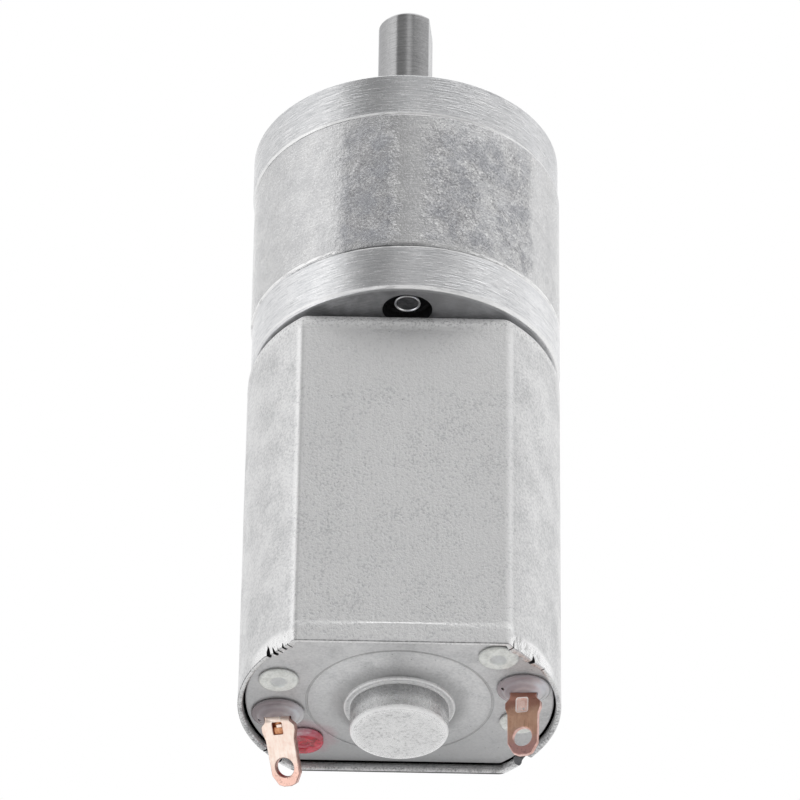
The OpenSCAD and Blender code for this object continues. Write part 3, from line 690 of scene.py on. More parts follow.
def plated_can():
    m = Mat("plated_can")
    grain = m.noise(m.p, 6.0, 3, 0.7)
    fine = m.noise(m.p, 13.0, 2, 0.6)
    cloud = m.noise(m.p, 0.5, 5, 0.6, 0.2)
    big = m.noise(m.p, 0.12, 3, 0.5)
    drawn = m.noise(m.vmath("MULTIPLY", m.p, (3.2, 3.2, 0.28)), 1.3, 3, 0.6)
    specks = m.voronoi(m.p, 1.5)
    spot = m.math("MULTIPLY", m.rng(specks[0], 0.045, 0.085, 1.0, 0.0), m.rng(m.noise(m.p, 0.35, 2), 0.48, 0.60, 0.0, 1.0))
    s = m.sep()
    # one short scratch and one tick on the near flat
    def mark(x0, z0, x1, z1, w):
        dx, dz = x1 - x0, z1 - z0
        ln = math.hypot(dx, dz)
        u = m.math("ADD", m.math("MULTIPLY", m.math("SUBTRACT", s[0], x0), dx / ln), m.math("MULTIPLY", m.math("SUBTRACT", s[2], z0), dz / ln))
        v = m.math("ABSOLUTE", m.math("ADD", m.math("MULTIPLY", m.math("SUBTRACT", s[0], x0), -dz / ln), m.math("MULTIPLY", m.math("SUBTRACT", s[2], z0), dx / ln)))
        a = m.math("MULTIPLY", m.rng(v, w * 0.5, w, 1.0, 0.0), m.rng(m.math("ABSOLUTE", m.math("SUBTRACT", u, ln / 2)), ln / 2 - 0.08, ln / 2, 1.0, 0.0))
        return m.math("MULTIPLY", a, m.math("LESS_THAN", s[1], -5.0))
    scratch = m.math("MAXIMUM", mark(1.45, -39.55, 2.15, -40.1, 0.045), mark(7.55, -27.6, 7.75, -27.9, 0.05))
    f = m.math("ADD", m.math("MULTIPLY", grain, 0.6), m.math("MULTIPLY", cloud, 0.4))
    even = m.math("MULTIPLY_ADD", m.math("SUBTRACT", grain, f), 0.35, f)
    col = m.ramp(even, [(0.38, (0.76, 0.765, 0.77)), (0.45, (0.93, 0.93, 0.935)), (0.51, (1.0, 1.0, 1.0))])
    col = m.mix(m.rng(big, 0.35, 0.65, 0.0, 0.2), col, (0.90, 0.905, 0.91))
    col = m.mix(m.math("MULTIPLY", spot, 0.6), col, (0.30, 0.30, 0.31))
    col = m.mix(m.math("MULTIPLY", scratch, 0.5), col, (0.35, 0.35, 0.36))
    # the shoulder is orange-peeled from drawing, and the rim is burnished where it is staked
    shoulder = m.rng(s[2], Z_MOT - 1.55, Z_MOT - 1.0, 0.0, 1.0)
    up = m.math("ADD", m.math("SUBTRACT", s[2], Z_RIM), m.math("MULTIPLY", m.math("SUBTRACT", grain, 0.5), 1.1))
    rub = None
    for mid, half in ((218.0, 2.5), (325.0, 2.9), (38.0, 1.2), (142.0, 1.2)):
        ca, sa = math.cos(math.radians(mid)), math.sin(math.radians(mid))
        ahead = m.math("ADD", m.math("MULTIPLY", s[0], ca), m.math("MULTIPLY", s[1], sa))
        off = m.math("ABSOLUTE", m.math("SUBTRACT", m.math("MULTIPLY", s[1], ca), m.math("MULTIPLY", s[0], sa)))
        off = m.math("ADD", off, m.math("MULTIPLY", m.math("SUBTRACT", cloud, 0.5), 1.2))
        z = m.math("MULTIPLY", m.math("GREATER_THAN", ahead, 8.0), m.math("MULTIPLY", m.rng(off, half * 0.7, half, 1.0, 0.0), m.rng(m.math("ADD", up, m.math("MULTIPLY", off, 0.14)), 0.85, 1.10, 1.0, 0.0)))
        rub = z if rub is None else m.math("MAXIMUM", rub, z)
    # all but the flats are painted a darker tone than the flats, as shade
    col = m.mix(m.rng(m.math("ABSOLUTE", s[1]), 7.25, 7.45, 1.0, 0.0), col, m.ramp(f, [(0.38, (0.60, 0.605, 0.61)), (0.50, (0.76, 0.76, 0.765)), (0.60, (0.87, 0.87, 0.87))]))
    # the upper part of the flats is painted lighter, as light
    painted_light_band = m.math("MULTIPLY", m.rng(m.math("ADD", s[2], m.math("MULTIPLY", cloud, 0.9)), Z_MOT - 6.0, Z_MOT - 5.6, 0.0, 0.5), m.rng(m.math("ABSOLUTE", s[1]), 7.25, 7.45, 0.0, 1.0))
    col = m.mix(painted_light_band, col, (1.0, 1.0, 1.0))
    col = m.mix(shoulder, col, m.ramp(grain, [(0.38, (0.66, 0.66, 0.665)), (0.47, (0.93, 0.93, 0.93)), (0.54, (1.0, 1.0, 1.0))]))
    col = m.mix(rub, col, (1.0, 1.0, 1.0))
    h = m.math("ADD", grain, m.math("MULTIPLY", drawn, 0.5))
    h = m.math("SUBTRACT", h, scratch)
    h = m.math("MULTIPLY", h, m.math("MULTIPLY_ADD", shoulder, 1.6, 1.0))
    n1 = m.bump(h, 0.028, 1.0)
    n2 = m.bump(fine, 0.008, 1.0, n1)
    ro = m.math("MAXIMUM", m.rng(f, 0.35, 0.65, 0.41, 0.31), m.math("MULTIPLY", shoulder, 0.62))
    m.set(Base_Color=col, Metallic=m.math("MULTIPLY_ADD", shoulder, -0.6, 0.97), Roughness=m.math("SUBTRACT", ro, m.math("MULTIPLY", rub, 0.12)), Normal=n2)
    return m.m


def plated_plate():
    m = Mat("plated_plate")
    grain = m.noise(m.p, 5.5, 4, 0.75)
    fine = m.noise(m.p, 12.0, 2, 0.6)
    cloud = m.noise(m.p, 0.8, 5, 0.6)
    specks = m.voronoi(m.p, 1.9)
    spot = m.math("MULTIPLY", m.rng(specks[0], 0.05, 0.11, 1.0, 0.0), m.rng(m.noise(m.p, 0.45, 2), 0.46, 0.58, 0.0, 1.0))
    s = m.sep()
    r = m.vmath("LENGTH", m.comb(s[0], s[1], 0.0))
    hub = m.math("MULTIPLY", m.rng(r, 3.2, 3.05, 0.0, 1.0), m.rng(s[2], Z_PLATE - 1.2, Z_PLATE - 1.6, 0.0, 1.0))
    f = m.math("ADD", m.math("MULTIPLY", grain, 0.5), m.math("MULTIPLY", cloud, 0.5))
    # the plate is painted darker towards +Y as shade, less so past x = 3
    side = m.math("MULTIPLY_ADD", s[1], 1 / 15.0, m.math("MULTIPLY", cloud, 0.5))
    side = m.math("SUBTRACT", side, m.math("MULTIPLY", m.math("MAXIMUM", m.math("SUBTRACT", s[0], 3.0), 0.0), 1 / 14.0))
    col = m.ramp(f, [(0.36, (0.62, 0.625, 0.63)), (0.5, (0.80, 0.80, 0.805)), (0.64, (0.94, 0.94, 0.94))])
    col = m.mix(m.rng(side, -0.10, 0.75, 0.0, 0.82), col, (0.36, 0.365, 0.37))
    col = m.mix(m.rng(r, 5.3, 5.9, 0.0, 0.30), col, (0.40, 0.40, 0.405))
    # painted shade in the moat round the collar
    moat_shade = m.math("MULTIPLY", m.rng(r, 4.75, 3.50, 0.0, 1.0, True), m.rng(r, 3.44, 3.50, 0.0, 1.0))
    col = m.mix(m.math("MULTIPLY", moat_shade, 0.50), col, (0.16, 0.16, 0.163))
    # the plate is tinted red round the red peg
    red = m.vmath("LENGTH", m.comb(m.math("SUBTRACT", s[0], PEGS[2][0] + 0.25), m.math("SUBTRACT", s[1], PEGS[2][1] - 0.15), 0.0))
    red = m.math("ADD", red, m.math("MULTIPLY", m.math("SUBTRACT", cloud, 0.5), 1.4))
    col = m.mix(m.rng(red, 1.35, 2.15, 0.30, 0.0, True), col, (0.52, 0.22, 0.28))
    hubf = m.math("ADD", m.math("MULTIPLY", grain, 0.75), m.math("MULTIPLY", cloud, 0.25))
    col = m.mix(hub, col, m.ramp(hubf, [(0.38, (0.64, 0.64, 0.64)), (0.47, (0.92, 0.92, 0.92)), (0.55, (0.98, 0.98, 0.98))]))
    # the pressed ring's groove is painted dark as shade, more on the near side
    groove = m.math("MULTIPLY", m.rng(m.math("ABSOLUTE", m.math("SUBTRACT", r, 5.79)), 0.05, 0.10, 1.0, 0.0), m.math("LESS_THAN", m.math("ABSOLUTE", m.math("SUBTRACT", s[2], Z_PLATE)), 0.09))
    col = m.mix(m.math("MULTIPLY", groove, m.rng(s[1], -5.0, 4.0, 0.40, 0.12)), col, (0.16, 0.16, 0.16))
    col = m.mix(m.math("MULTIPLY", m.math("MULTIPLY", spot, m.math("MULTIPLY_ADD", hub, -0.75, 1.0)), 0.6), col, (0.20, 0.20, 0.20))
    # the hub's barrel is painted darker towards its foot, as shade
    under = m.math("MULTIPLY", m.rng(s[2], Z_PLATE - 1.55, Z_PLATE - 0.52, 0.0, 1.0), m.math("MULTIPLY", m.rng(r, 3.03, 3.05, 0.0, 1.0), m.rng(r, 3.16, 3.10, 0.0, 1.0)))
    col = m.mix(m.math("MULTIPLY", under, 0.70), col, (0.22, 0.22, 0.225))
    # the collar round the hub and the hub's edge are rough, and painted bright as highlights, with a white line at the
    # hub's edge
    collar = m.math("MULTIPLY", m.math("MULTIPLY", m.rng(r, 3.02, 3.08, 0.0, 1.0), m.rng(r, 3.44, 3.50, 1.0, 0.0)),
                    m.math("MULTIPLY", m.rng(s[2], Z_PLATE - 0.30, Z_PLATE - 0.36, 0.0, 1.0), m.rng(s[2], Z_PLATE - 0.64, Z_PLATE - 0.60, 0.0, 1.0)))
    lip = m.math("MULTIPLY", m.rng(r, 2.45, 2.80, 0.0, 1.0), m.rng(s[2], Z_PLATE - HUB_H + 0.20, Z_PLATE - HUB_H + 0.12, 0.0, 1.0))
    bead = m.math("MULTIPLY", m.rng(r, 2.45, 2.80, 0.0, 1.0), m.rng(s[2], Z_PLATE - HUB_H + 0.30, Z_PLATE - HUB_H + 0.20, 0.0, 1.0))
    bead = m.math("MULTIPLY", m.math("MULTIPLY", bead, m.rng(s[2], Z_PLATE - HUB_H + 0.004, Z_PLATE - HUB_H + 0.014, 0.0, 1.0)), m.rng(grain, 0.40, 0.52, 0.70, 1.0))
    col = m.mix(m.math("MAXIMUM", bead, m.math("MULTIPLY", lip, 0.4)), col, (1.0, 1.0, 1.0))
    col = m.mix(m.math("MULTIPLY", collar, 0.9), col, m.ramp(grain, [(0.36, (0.80, 0.80, 0.80)), (0.46, (0.98, 0.98, 0.98)), (0.6, (1.0, 1.0, 1.0))]))
    h = m.math("ADD", grain, m.math("MULTIPLY", fine, 0.35))
    h = m.math("MULTIPLY", h, m.math("MULTIPLY_ADD", m.math("MAXIMUM", m.math("MULTIPLY", collar, 0.4), lip), 1.3, 1.0))
    n1 = m.bump(h, 0.020, 1.0)
    barrel = m.math("MULTIPLY", m.rng(r, 3.3, 3.2, 0.0, 1.0), m.rng(s[2], Z_PLATE - 0.50, Z_PLATE - 0.56, 0.0, 1.0))
    ro = m.math("SUBTRACT", m.rng(f, 0.35, 0.65, 0.44, 0.32), m.math("MULTIPLY", barrel, 0.10))
    ro = m.math("SUBTRACT", ro, m.math("MULTIPLY", lip, 0.18))
    ro = m.math("ADD", ro, m.math("MULTIPLY", m.math("MULTIPLY", m.rng(s[0], 3.5, 5.5, 0.0, 0.12), m.rng(s[1], 0.0, -2.0, 0.0, 1.0)), 1.0))
    ro = m.math("MAXIMUM", ro, m.math("MULTIPLY", collar, 0.62))
    face = m.rng(r, 3.46, 3.70, 0.0, 0.84)
    ro = m.math("MAXIMUM", ro, m.math("MULTIPLY", bead, 0.5))
    less = m.math("MAXIMUM", m.math("MULTIPLY", m.math("MAXIMUM", collar, face), 0.5), m.math("MULTIPLY", bead, 0.90))
    m.set(Base_Color=col, Metallic=m.math("SUBTRACT", 1.0, less), Roughness=ro, Normal=n1)
    return m.m


def bronze(name="bronze", a=(0.42, 0.27, 0.13), b=(0.66, 0.46, 0.25)):
    m = Mat(name)
    grain = m.noise(m.p, 6.0, 4, 0.75)
    cloud = m.noise(m.p, 1.1, 3, 0.6)
    f = m.math("ADD", m.math("MULTIPLY", grain, 0.55), m.math("MULTIPLY", cloud, 0.45))
    col = m.ramp(f, [(0.32, a), (0.66, b)])
    m.set(Base_Color=col, Metallic=1.0, Roughness=m.rng(f, 0.3, 0.7, 0.5, 0.34), Normal=m.bump(grain, 0.012))
    return m.m


def brass(name="brass"):
    return bronze(name, (0.62, 0.44, 0.18), (0.86, 0.66, 0.32))


def magnet():
    m = Mat("magnet")
    grain = m.noise(m.p, 5.0, 4, 0.7)
    cloud = m.noise(m.p, 0.9, 3, 0.6)
    col = m.ramp(cloud, [(0.3, (0.045, 0.046, 0.05)), (0.7, (0.11, 0.11, 0.115))])
    m.set(Base_Color=col, Roughness=m.rng(grain, 0.3, 0.7, 0.62, 0.42), Normal=m.bump(grain, 0.02))
    return m.m


def plastic(name, a, b, rough=(0.5, 0.36), sss=0.25, radius=(1.0, 0.8, 0.6), bump=0.008):
    m = Mat(name)
    cloud = m.noise(m.p, 1.3, 3, 0.6)
    grain = m.noise(m.p, 6.0, 3, 0.6)
    col = m.ramp(cloud, [(0.32, a), (0.68, b)])
    m.set(Base_Color=col, Roughness=m.rng(grain, 0.3, 0.7, *rough), Normal=m.bump(grain, bump))
    if sss:
        m.b.inputs["Subsurface Weight"].default_value = sss
        m.b.inputs["Subsurface Radius"].default_value = radius
        m.b.inputs["Subsurface Scale"].default_value = 0.0006
    return m.m


def peg_nylon():
    m = Mat("nylon")
    cloud = m.noise(m.p, 1.6, 4, 0.65)
    grain = m.noise(m.p, 6.0, 3, 0.7)
    s = m.sep()
    d = None
    for q in PEGS:
        e = m.vmath("LENGTH", m.comb(m.math("SUBTRACT", s[0], q[0]), m.math("SUBTRACT", s[1], q[1]), 0.0))
        d = e if d is None else m.math("MINIMUM", d, e)
    f = m.math("ADD", m.math("MULTIPLY", cloud, 0.5), m.math("MULTIPLY", grain, 0.5))
    col = m.ramp(f, [(0.34, (0.58, 0.59, 0.56)), (0.47, (0.71, 0.72, 0.69)), (0.60, (0.87, 0.88, 0.85))])
    # the dimple is painted darker as shade, a ring at its rim lighter as a highlight, and the peg's edge darker as
    # shade
    col = m.mix(m.rng(d, 0.35, 0.66, 0.60, 0.0, True), col, (0.47, 0.48, 0.50))
    col = m.mix(m.rng(m.math("ABSOLUTE", m.math("SUBTRACT", d, 0.66)), 0.0, 0.10, 0.30, 0.0), col, (0.84, 0.84, 0.80))
    col = m.mix(m.rng(d, 1.14, 1.25, 0.0, 0.45), col, (0.30, 0.30, 0.30))
    m.set(Base_Color=col, Roughness=m.rng(grain, 0.3, 0.7, 0.42, 0.24), Normal=m.bump(f, 0.030))
    m.b.inputs["Subsurface Weight"].default_value = 0.15
    m.b.inputs["Subsurface Radius"].default_value = (1.0, 0.9, 0.8)
    m.b.inputs["Subsurface Scale"].default_value = 0.0004
    return m.m


def nylon_boss(name, centre, turn, g=1.0):
    """Unfilled nylon: brown-violet, painted lighter and milky towards one side as shading, with a painted light arc as
    a highlight and a painted dark ring at the foot as shade.
    """
    m = Mat(name)
    cloud = m.noise(m.p, 1.3, 3, 0.6)
    grain = m.noise(m.p, 6.0, 3, 0.6)
    s = m.sep()
    dx, dy = m.math("SUBTRACT", s[0], centre[0]), m.math("SUBTRACT", s[1], centre[1])
    c, d = math.cos(math.radians(turn)), math.sin(math.radians(turn))
    along = m.math("ADD", m.math("MULTIPLY", dx, c), m.math("MULTIPLY", dy, d))
    r = m.vmath("LENGTH", m.comb(dx, dy, 0.0))
    ringed = m.math("SINE", m.math("MULTIPLY", r, TAU / 0.55))
    # painted lighter towards one side, as shading
    t = m.math("ADD", m.math("MULTIPLY_ADD", along, 0.32, 0.42), m.math("MULTIPLY", m.math("SUBTRACT", cloud, 0.5), 0.35))
    t = m.math("MULTIPLY_ADD", ringed, 0.06, t)
    col = m.ramp(t, [(0.08, (0.20 * g, 0.168 * g, 0.178 * g)), (0.36, (0.32 * g, 0.280 * g, 0.290 * g)), (0.60, (0.43 * g, 0.42 * g, 0.445 * g)), (0.90, (0.96 - 0.22 * g, 0.965 - 0.22 * g, 0.97 - 0.22 * g))])
    # a painted light arc, as a highlight
    arc = m.rng(m.math("ABSOLUTE", m.math("SUBTRACT", r, m.math("MULTIPLY_ADD", cloud, 0.25, 1.12))), 0.0, 0.16, 1.0, 0.0, True)
    col = m.mix(m.math("MULTIPLY", arc, m.rng(t, 0.35, 0.75, 0.10, 0.60)), col, (0.62, 0.64, 0.68))
    # a painted dark ring at the foot, as shade
    col = m.mix(m.rng(r, 1.57, 1.65, 0.0, 0.5), col, (0.22, 0.21, 0.22))
    m.set(Base_Color=col, Roughness=m.rng(grain, 0.3, 0.7, 0.26, 0.14), Normal=m.bump(m.math("ADD", m.math("MULTIPLY", grain, 0.3), ringed), 0.006))
    m.b.inputs["Subsurface Weight"].default_value = 0.25
    m.b.inputs["Subsurface Radius"].default_value = (1.0, 0.8, 0.7)
    m.b.inputs["Subsurface Scale"].default_value = 0.0006
    m.b.inputs["Coat Weight"].default_value = 0.3
    m.b.inputs["Coat Roughness"].default_value = 0.12
    return m.m


def red_mark(name="red_mark", deep=True):
    m = Mat(name)
    cloud = m.noise(m.p, 2.0, 3, 0.6)
    s = m.sep()
    dx, dy = m.math("SUBTRACT", s[0], PEGS[2][0]), m.math("SUBTRACT", s[1], PEGS[2][1])
    t = m.math("ADD", m.math("MULTIPLY_ADD", dx, 0.34, 0.5), m.math("MULTIPLY", dy, 0.30))
    t = m.math("ADD", t, m.math("MULTIPLY", m.math("SUBTRACT", cloud, 0.5), 0.9))
    if deep:
        col = m.ramp(t, [(0.02, (0.46, 0.27, 0.29)), (0.22, (0.46, 0.11, 0.15)), (0.36, (0.36, 0.008, 0.022)), (0.52, (0.56, 0.010, 0.032)), (0.72, (0.24, 0.004, 0.012)), (0.86, (0.52, 0.010, 0.030)), (1.0, (0.60, 0.04, 0.08))])
    else:
        col = m.ramp(t, [(0.1, (0.55, 0.36, 0.40)), (0.40, (0.50, 0.12, 0.17)), (0.85, (0.42, 0.012, 0.035))])
    m.set(Base_Color=col, Roughness=m.rng(cloud, 0.3, 0.7, 0.26, 0.14), Normal=m.bump(cloud, 0.10))
    m.b.inputs["Coat Weight"].default_value = 0.35
    m.b.inputs["Coat Roughness"].default_value = 0.06
    return m.m


def copper_blade(name, a, b, c, rough=(0.42, 0.26), tip=None, along=None, seam=None, root=None, metal=1.0):
    """Rolled copper. along is (origin, length axis, cross axis, length): streaks run along the blade, the tip has a
    colour of its own and a bend crease, painted dark as shade, may cross it."""
    m = Mat(name)
    grain = m.noise(m.p, 7.0, 4, 0.7)
    cloud = m.noise(m.p, 1.2, 4, 0.6, 0.4)
    if along is None:
        roll = m.noise(m.vmath("MULTIPLY", m.p, (3.0, 3.0, 0.5)), 2.2, 3, 0.6)
    else:
        o, ax, cr, ln = along
        q = m.vmath("SUBTRACT", m.p, tuple(o))
        u = m.vmath("DOT_PRODUCT", q, tuple(cr))
        v = m.vmath("DOT_PRODUCT", q, tuple(ax))
        roll = m.noise(m.comb(m.math("MULTIPLY", u, 6.0), m.math("MULTIPLY", v, 0.55), 0.0), 1.2, 3, 0.62)
    f = m.math("ADD", m.math("MULTIPLY", cloud, 0.45), m.math("ADD", m.math("MULTIPLY", grain, 0.2), m.math("MULTIPLY", roll, 0.35)))
    col = m.ramp(f, [(0.33, a), (0.5, b), (0.66, c)])
    h = m.math("ADD", m.math("MULTIPLY", grain, 0.7), roll)
    if tip is not None:
        e = m.math("ADD", v, m.math("MULTIPLY", m.math("SUBTRACT", cloud, 0.5), 1.6))
        w = m.rng(e, ln - 1.9, ln - 0.5, 0.0, 1.0, True)
        fleck = m.rng(m.noise(m.p, 5.0, 3, 0.7), 0.56, 0.64, 0.0, 0.5)
        col = m.mix(w, col, m.mix(fleck, tip, tuple(0.35 * x for x in tip)))
    if root is not None:
        e = m.math("ADD", v, m.math("MULTIPLY", m.math("SUBTRACT", cloud, 0.5), 0.8))
        col = m.mix(m.rng(e, 0.7, 1.5, 0.85, 0.0, True), col, root)
    # the crease is painted dark, as shade
    if seam is not None:
        d = m.math("ABSOLUTE", m.math("SUBTRACT", u, seam))
        line = m.math("MULTIPLY", m.rng(d, 0.015, 0.045, 1.0, 0.0), m.rng(v, 1.7, 2.5, 0.0, 1.0))
        line = m.math("MULTIPLY", line, m.rng(v, 2.5, 2.1, 0.0, 1.0))
        col = m.mix(m.math("MULTIPLY", line, 0.6), col, tuple(0.3 * x for x in a))
        h = m.math("SUBTRACT", h, line)
    m.set(Base_Color=col, Metallic=metal, Roughness=m.rng(f, 0.35, 0.65, *rough), Normal=m.bump(h, 0.010))
    return m.m


def blade_axes(T):
    """Where a terminal blade starts, and its length and cross directions."""
    yaw, lean, bend = (math.radians(T[k]) for k in ("yaw", "lean", "bend"))
    A = Matrix.Rotation(lean, 3, "Y") @ Matrix.Rotation(bend, 3, "X") @ Matrix.Rotation(yaw, 3, "Z")
    return (T["p"][0], T["p"][1], Z_PLATE - 0.5), A @ Vector((0, 0, -1)), A @ Vector((1, 0, 0)), T["length"]


def carbon():
    m = Mat("brush_carbon")
    grain = m.noise(m.p, 9.0, 3, 0.7)
    col = m.ramp(grain, [(0.35, (0.02, 0.02, 0.021)), (0.7, (0.07, 0.068, 0.066))])
    m.set(Base_Color=col, Metallic=0.2, Roughness=m.rng(grain, 0.3, 0.7, 0.5, 0.34), Normal=m.bump(grain, 0.012))
    return m.m


def laminations():
    m = Mat("laminations")
    s = m.sep()
    wave = m.math("SINE", m.math("MULTIPLY", s[2], TAU / 0.5))
    grain = m.noise(m.p, 4.0, 3, 0.6)
    col = m.ramp(m.math("MULTIPLY_ADD", wave, 0.25, m.math("MULTIPLY", grain, 1.0)),
                 [(0.2, (0.22, 0.23, 0.25)), (0.75, (0.55, 0.56, 0.58))])
    h = m.math("ADD", m.rng(wave, 0.75, 1.0, 1.0, 0.0), m.math("MULTIPLY", grain, 0.3))
    m.set(Base_Color=col, Metallic=1.0, Roughness=m.rng(grain, 0.3, 0.7, 0.45, 0.33), Normal=m.bump(h, 0.03))
    return m.m


def winding_mat():
    m = Mat("enamelled_wire")
    s = m.sep()
    a = m.math("MULTIPLY", m.math("ADD", s[0], m.math("MULTIPLY", s[1], 0.6)), TAU / 0.26)
    b = m.math("ADD", a, m.math("MULTIPLY", m.noise(m.p, 0.7, 2), 5.0))
    wave = m.math("SINE", b)
    n = m.noise(m.p, 1.2, 2)
    col = m.ramp(m.math("MULTIPLY_ADD", wave, 0.3, n), [(0.2, (0.20, 0.045, 0.015)), (0.5, (0.56, 0.20, 0.07)), (0.85, (0.86, 0.42, 0.18))])
    m.set(Base_Color=col, Metallic=0.85, Roughness=m.rng(n, 0.3, 0.7, 0.36, 0.24), Normal=m.bump(wave, 0.06))
    m.b.inputs["Coat Weight"].default_value = 0.4
    m.b.inputs["Coat Roughness"].default_value = 0.1
    return m.m


M = {
    "turned_steel": turned_steel(low=Z_CAP),
    "turned_rear": turned_steel("turned_steel_rear", (0.36, 0.24), 1.18, Z_MOT, Z_RING - E, 0.22, 0.36),
    # the cut edge and rim corner carry painted light and shade; the gap and torn steels are near black, painted into
    # the can's gap and notches as shade
    "cut_edge": cut_edge(),
    "rim_corner_and_shade": rim_edge(),
    "gap": screw_steel("gap_shade_steel", 0.10),
    "torn": screw_steel("torn_shade_steel", 0.11),
    "sintered_ring": sintered_ring(),
    "ground_steel": ground_steel(),
    "screw_steel": screw_steel(),
    # the bright thread steel is a painted highlight; the black steel is the clip's own colour and is also used as
    # painted shade on the screws in their pockets
    "screw_bright": screw_steel("screw_thread_highlight", 0.95),
    "black_steel_and_shade": screw_steel("black_clip_and_shade_steel", 0.16),
    "plated_can": plated_can(),
    "plated_plate": plated_plate(),
    "bronze": bronze(),
    "brass": brass(),
    "magnet": magnet(),
    "nylon": peg_nylon(),
    "boss_l": nylon_boss("nylon_boss_left", TERM_L["p"], 38, 1.15),
    "boss_r": nylon_boss("nylon_boss_right", TERM_R["p"], 35, 1.62),
    "red_mark": red_mark(),
    "red_peg": red_mark("red_stained_nylon", False),
    "bore_dark": bore_dark(),
    "ground_flat": ground_steel("ground_flat", 0.72),
    # the left blade's copper is painted paler than the right's, as the light it catches
    "copper_l": copper_blade("copper_left", (0.94, 0.68, 0.57), (1.0, 0.83, 0.73), (1.0, 0.92, 0.84), rough=(0.39, 0.25), tip=(1.0, 0.64, 0.54), along=blade_axes(TERM_L)),
    "copper_r": copper_blade("copper_right", (0.66, 0.37, 0.25), (0.88, 0.53, 0.37), (1.0, 0.68, 0.50), tip=(0.72, 0.41, 0.38), along=blade_axes(TERM_R), seam=0.12, root=(0.42, 0.19, 0.15)),
    "copper_edge_l": copper_blade("copper_edge_left", (0.36, 0.18, 0.15), (0.60, 0.36, 0.31), (0.86, 0.58, 0.52)),
    "copper_edge_r": copper_blade("copper_edge_right", (0.50, 0.26, 0.21), (0.78, 0.48, 0.42), (0.95, 0.72, 0.66)),
    # the right window's floor and edges are painted pale, as highlights
    "copper_glint": copper_blade("copper_glint", (0.90, 0.66, 0.60), (1.0, 0.88, 0.84), (1.0, 0.96, 0.94), rough=(0.7, 0.5), metal=0.3),
    "copper_frame": copper_blade("copper_window_right", (0.72, 0.40, 0.34), (0.96, 0.70, 0.62), (1.0, 0.90, 0.86), rough=(0.5, 0.4), metal=0.35),
    "copper_floor": copper_blade("copper_window", (0.36, 0.14, 0.07), (0.56, 0.25, 0.13), (0.76, 0.40, 0.22)),
    "carbon": carbon(),
    "laminations": laminations(),
    "insulation": plastic("insulation", (0.05, 0.13, 0.10), (0.10, 0.22, 0.17), sss=0.0),
    "hub_plastic": plastic("commutator_plastic", (0.012, 0.011, 0.010), (0.035, 0.032, 0.030), sss=0.0),
    "wire": winding_mat(),
    "commutator": copper_blade("commutator_copper", (0.42, 0.20, 0.11), (0.70, 0.40, 0.26), (0.88, 0.60, 0.44)),
    "ferrite_ring": magnet(),
}

CAD_LOOK = {
    "sintered_ring": "output_carrier first_carrier second_sun_gear output_planet_1 output_planet_2 output_planet_3 first_planet_1 first_planet_2 first_planet_3",
    "ground_steel": "motor_shaft output_planet_pins first_planet_pins output_thrust_washer thrust_plate",
    "screw_steel": "motor_screws magnet_spring",
    "bronze": "front_bush rear_bush front_washers rear_washers",
    "brass": "motor_pinion brush_arm_left brush_arm_right",
    "magnet": "magnet_left magnet_right",
    "ferrite_ring": "commutator_ring",
    "nylon": "rotor_spacer",
    "carbon": "brush_left brush_right",
    "laminations": "rotor_core",
    "insulation": "rotor_insulation",
    "hub_plastic": "commutator_hub",
    "wire": "winding_1 winding_2 winding_3",
    "commutator": "commutator_segments",
}
for _look, _names in CAD_LOOK.items():
    for _n in _names.split():
        _me = NODES[_n].data
        _me.materials.clear()
        _me.materials.append(M[_look])


# ---------------------------------------------------------------- gearbox shells
def make_front_cap():
    z = Z_CAP
    ob = lathe("front_cap_v", [(2.8, z, 0.05), (R - 0.11, z, 0.03), (R, z + 0.14, 0.04), (R, -0.12, 0.05), (R - 0.12, 0, 0.05),
                               (3.5, 0, 0.10), (3.5, PILOT_H - 0.2, 0.05), (3.3, PILOT_H, 0.05), (2.8, PILOT_H, 0.03)])
    for s in (-1, 1):
        rings = threaded_rod("t", (s * MOUNT, 0), z - 0.3, 0.3, 1.05, 1.22, 0.45)
        boolean(ob, from_rings("t", rings, caps=("f", "f")))
        boolean(ob, lathe("c", [(0, -0.26), (1.02, -0.26, 0), (1.34, 0.06, 0), (1.34, 0.5, 0), (0, 0.5)], 96, (s * MOUNT, 0)))
        boolean(ob, lathe("c", [(0, z - 1), (0.85, z - 1, 0), (0.85, -0.75, 0.05), (1.6, -0.02, 0.03), (1.66, 0.04, 0), (1.66, 0.5, 0), (0, 0.5)], 96, (0, s * SCREW_R)))
    ob.data.transform(Matrix.Translation((SHIFT_CAP, 0, 0)))
    return finish_piece(ob, "front_cap", [M["turned_steel"]])


def make_output_bush():
    z = Z_CAP + 0.02
    ob = lathe("output_bush_v", [(2.02, z, 0.05), (2.79, z, 0.05), (2.79, PILOT_H - 0.15, 0.03), (2.65, PILOT_H, 0.03),
                                 (2.22, PILOT_H, 0.03), (2.02, PILOT_H - 0.2, 0.03)], 192)
    return finish_piece(ob, "output_bush", [M["bronze"]])


GM, PA = 0.3, math.radians(20)


def gear_pts(n, w, up, down, k=5):
    rp = GM * n / 2
    rb = rp * math.cos(PA)
    ro, ri = rp + up, rp - down
    rs = max(ri, rb + 0.0005)
    inv = lambda a: math.tan(a) - a
    half = lambda r: math.pi / 2 / n + (w / 2) / rp + inv(PA) - (inv(math.acos(min(1, rb / r))) if r > rb else 0)
    out = []
    for i in range(n):
        c = TAU * i / n
        seq = []
        if ri < rb:
            seq.append((ri, -half(rs)))
        seq += [(rs + (ro - rs) * j / k, -half(rs + (ro - rs) * j / k)) for j in range(k + 1)]
        seq += [(r, -a) for r, a in reversed(seq)]
        out += [(r * math.cos(c + a), r * math.sin(c + a)) for r, a in seq]
    return out


def ring2(r, n, c=(0, 0)):
    return [(c[0] + r * math.cos(TAU * k / n), c[1] + r * math.sin(TAU * k / n)) for k in range(n)]


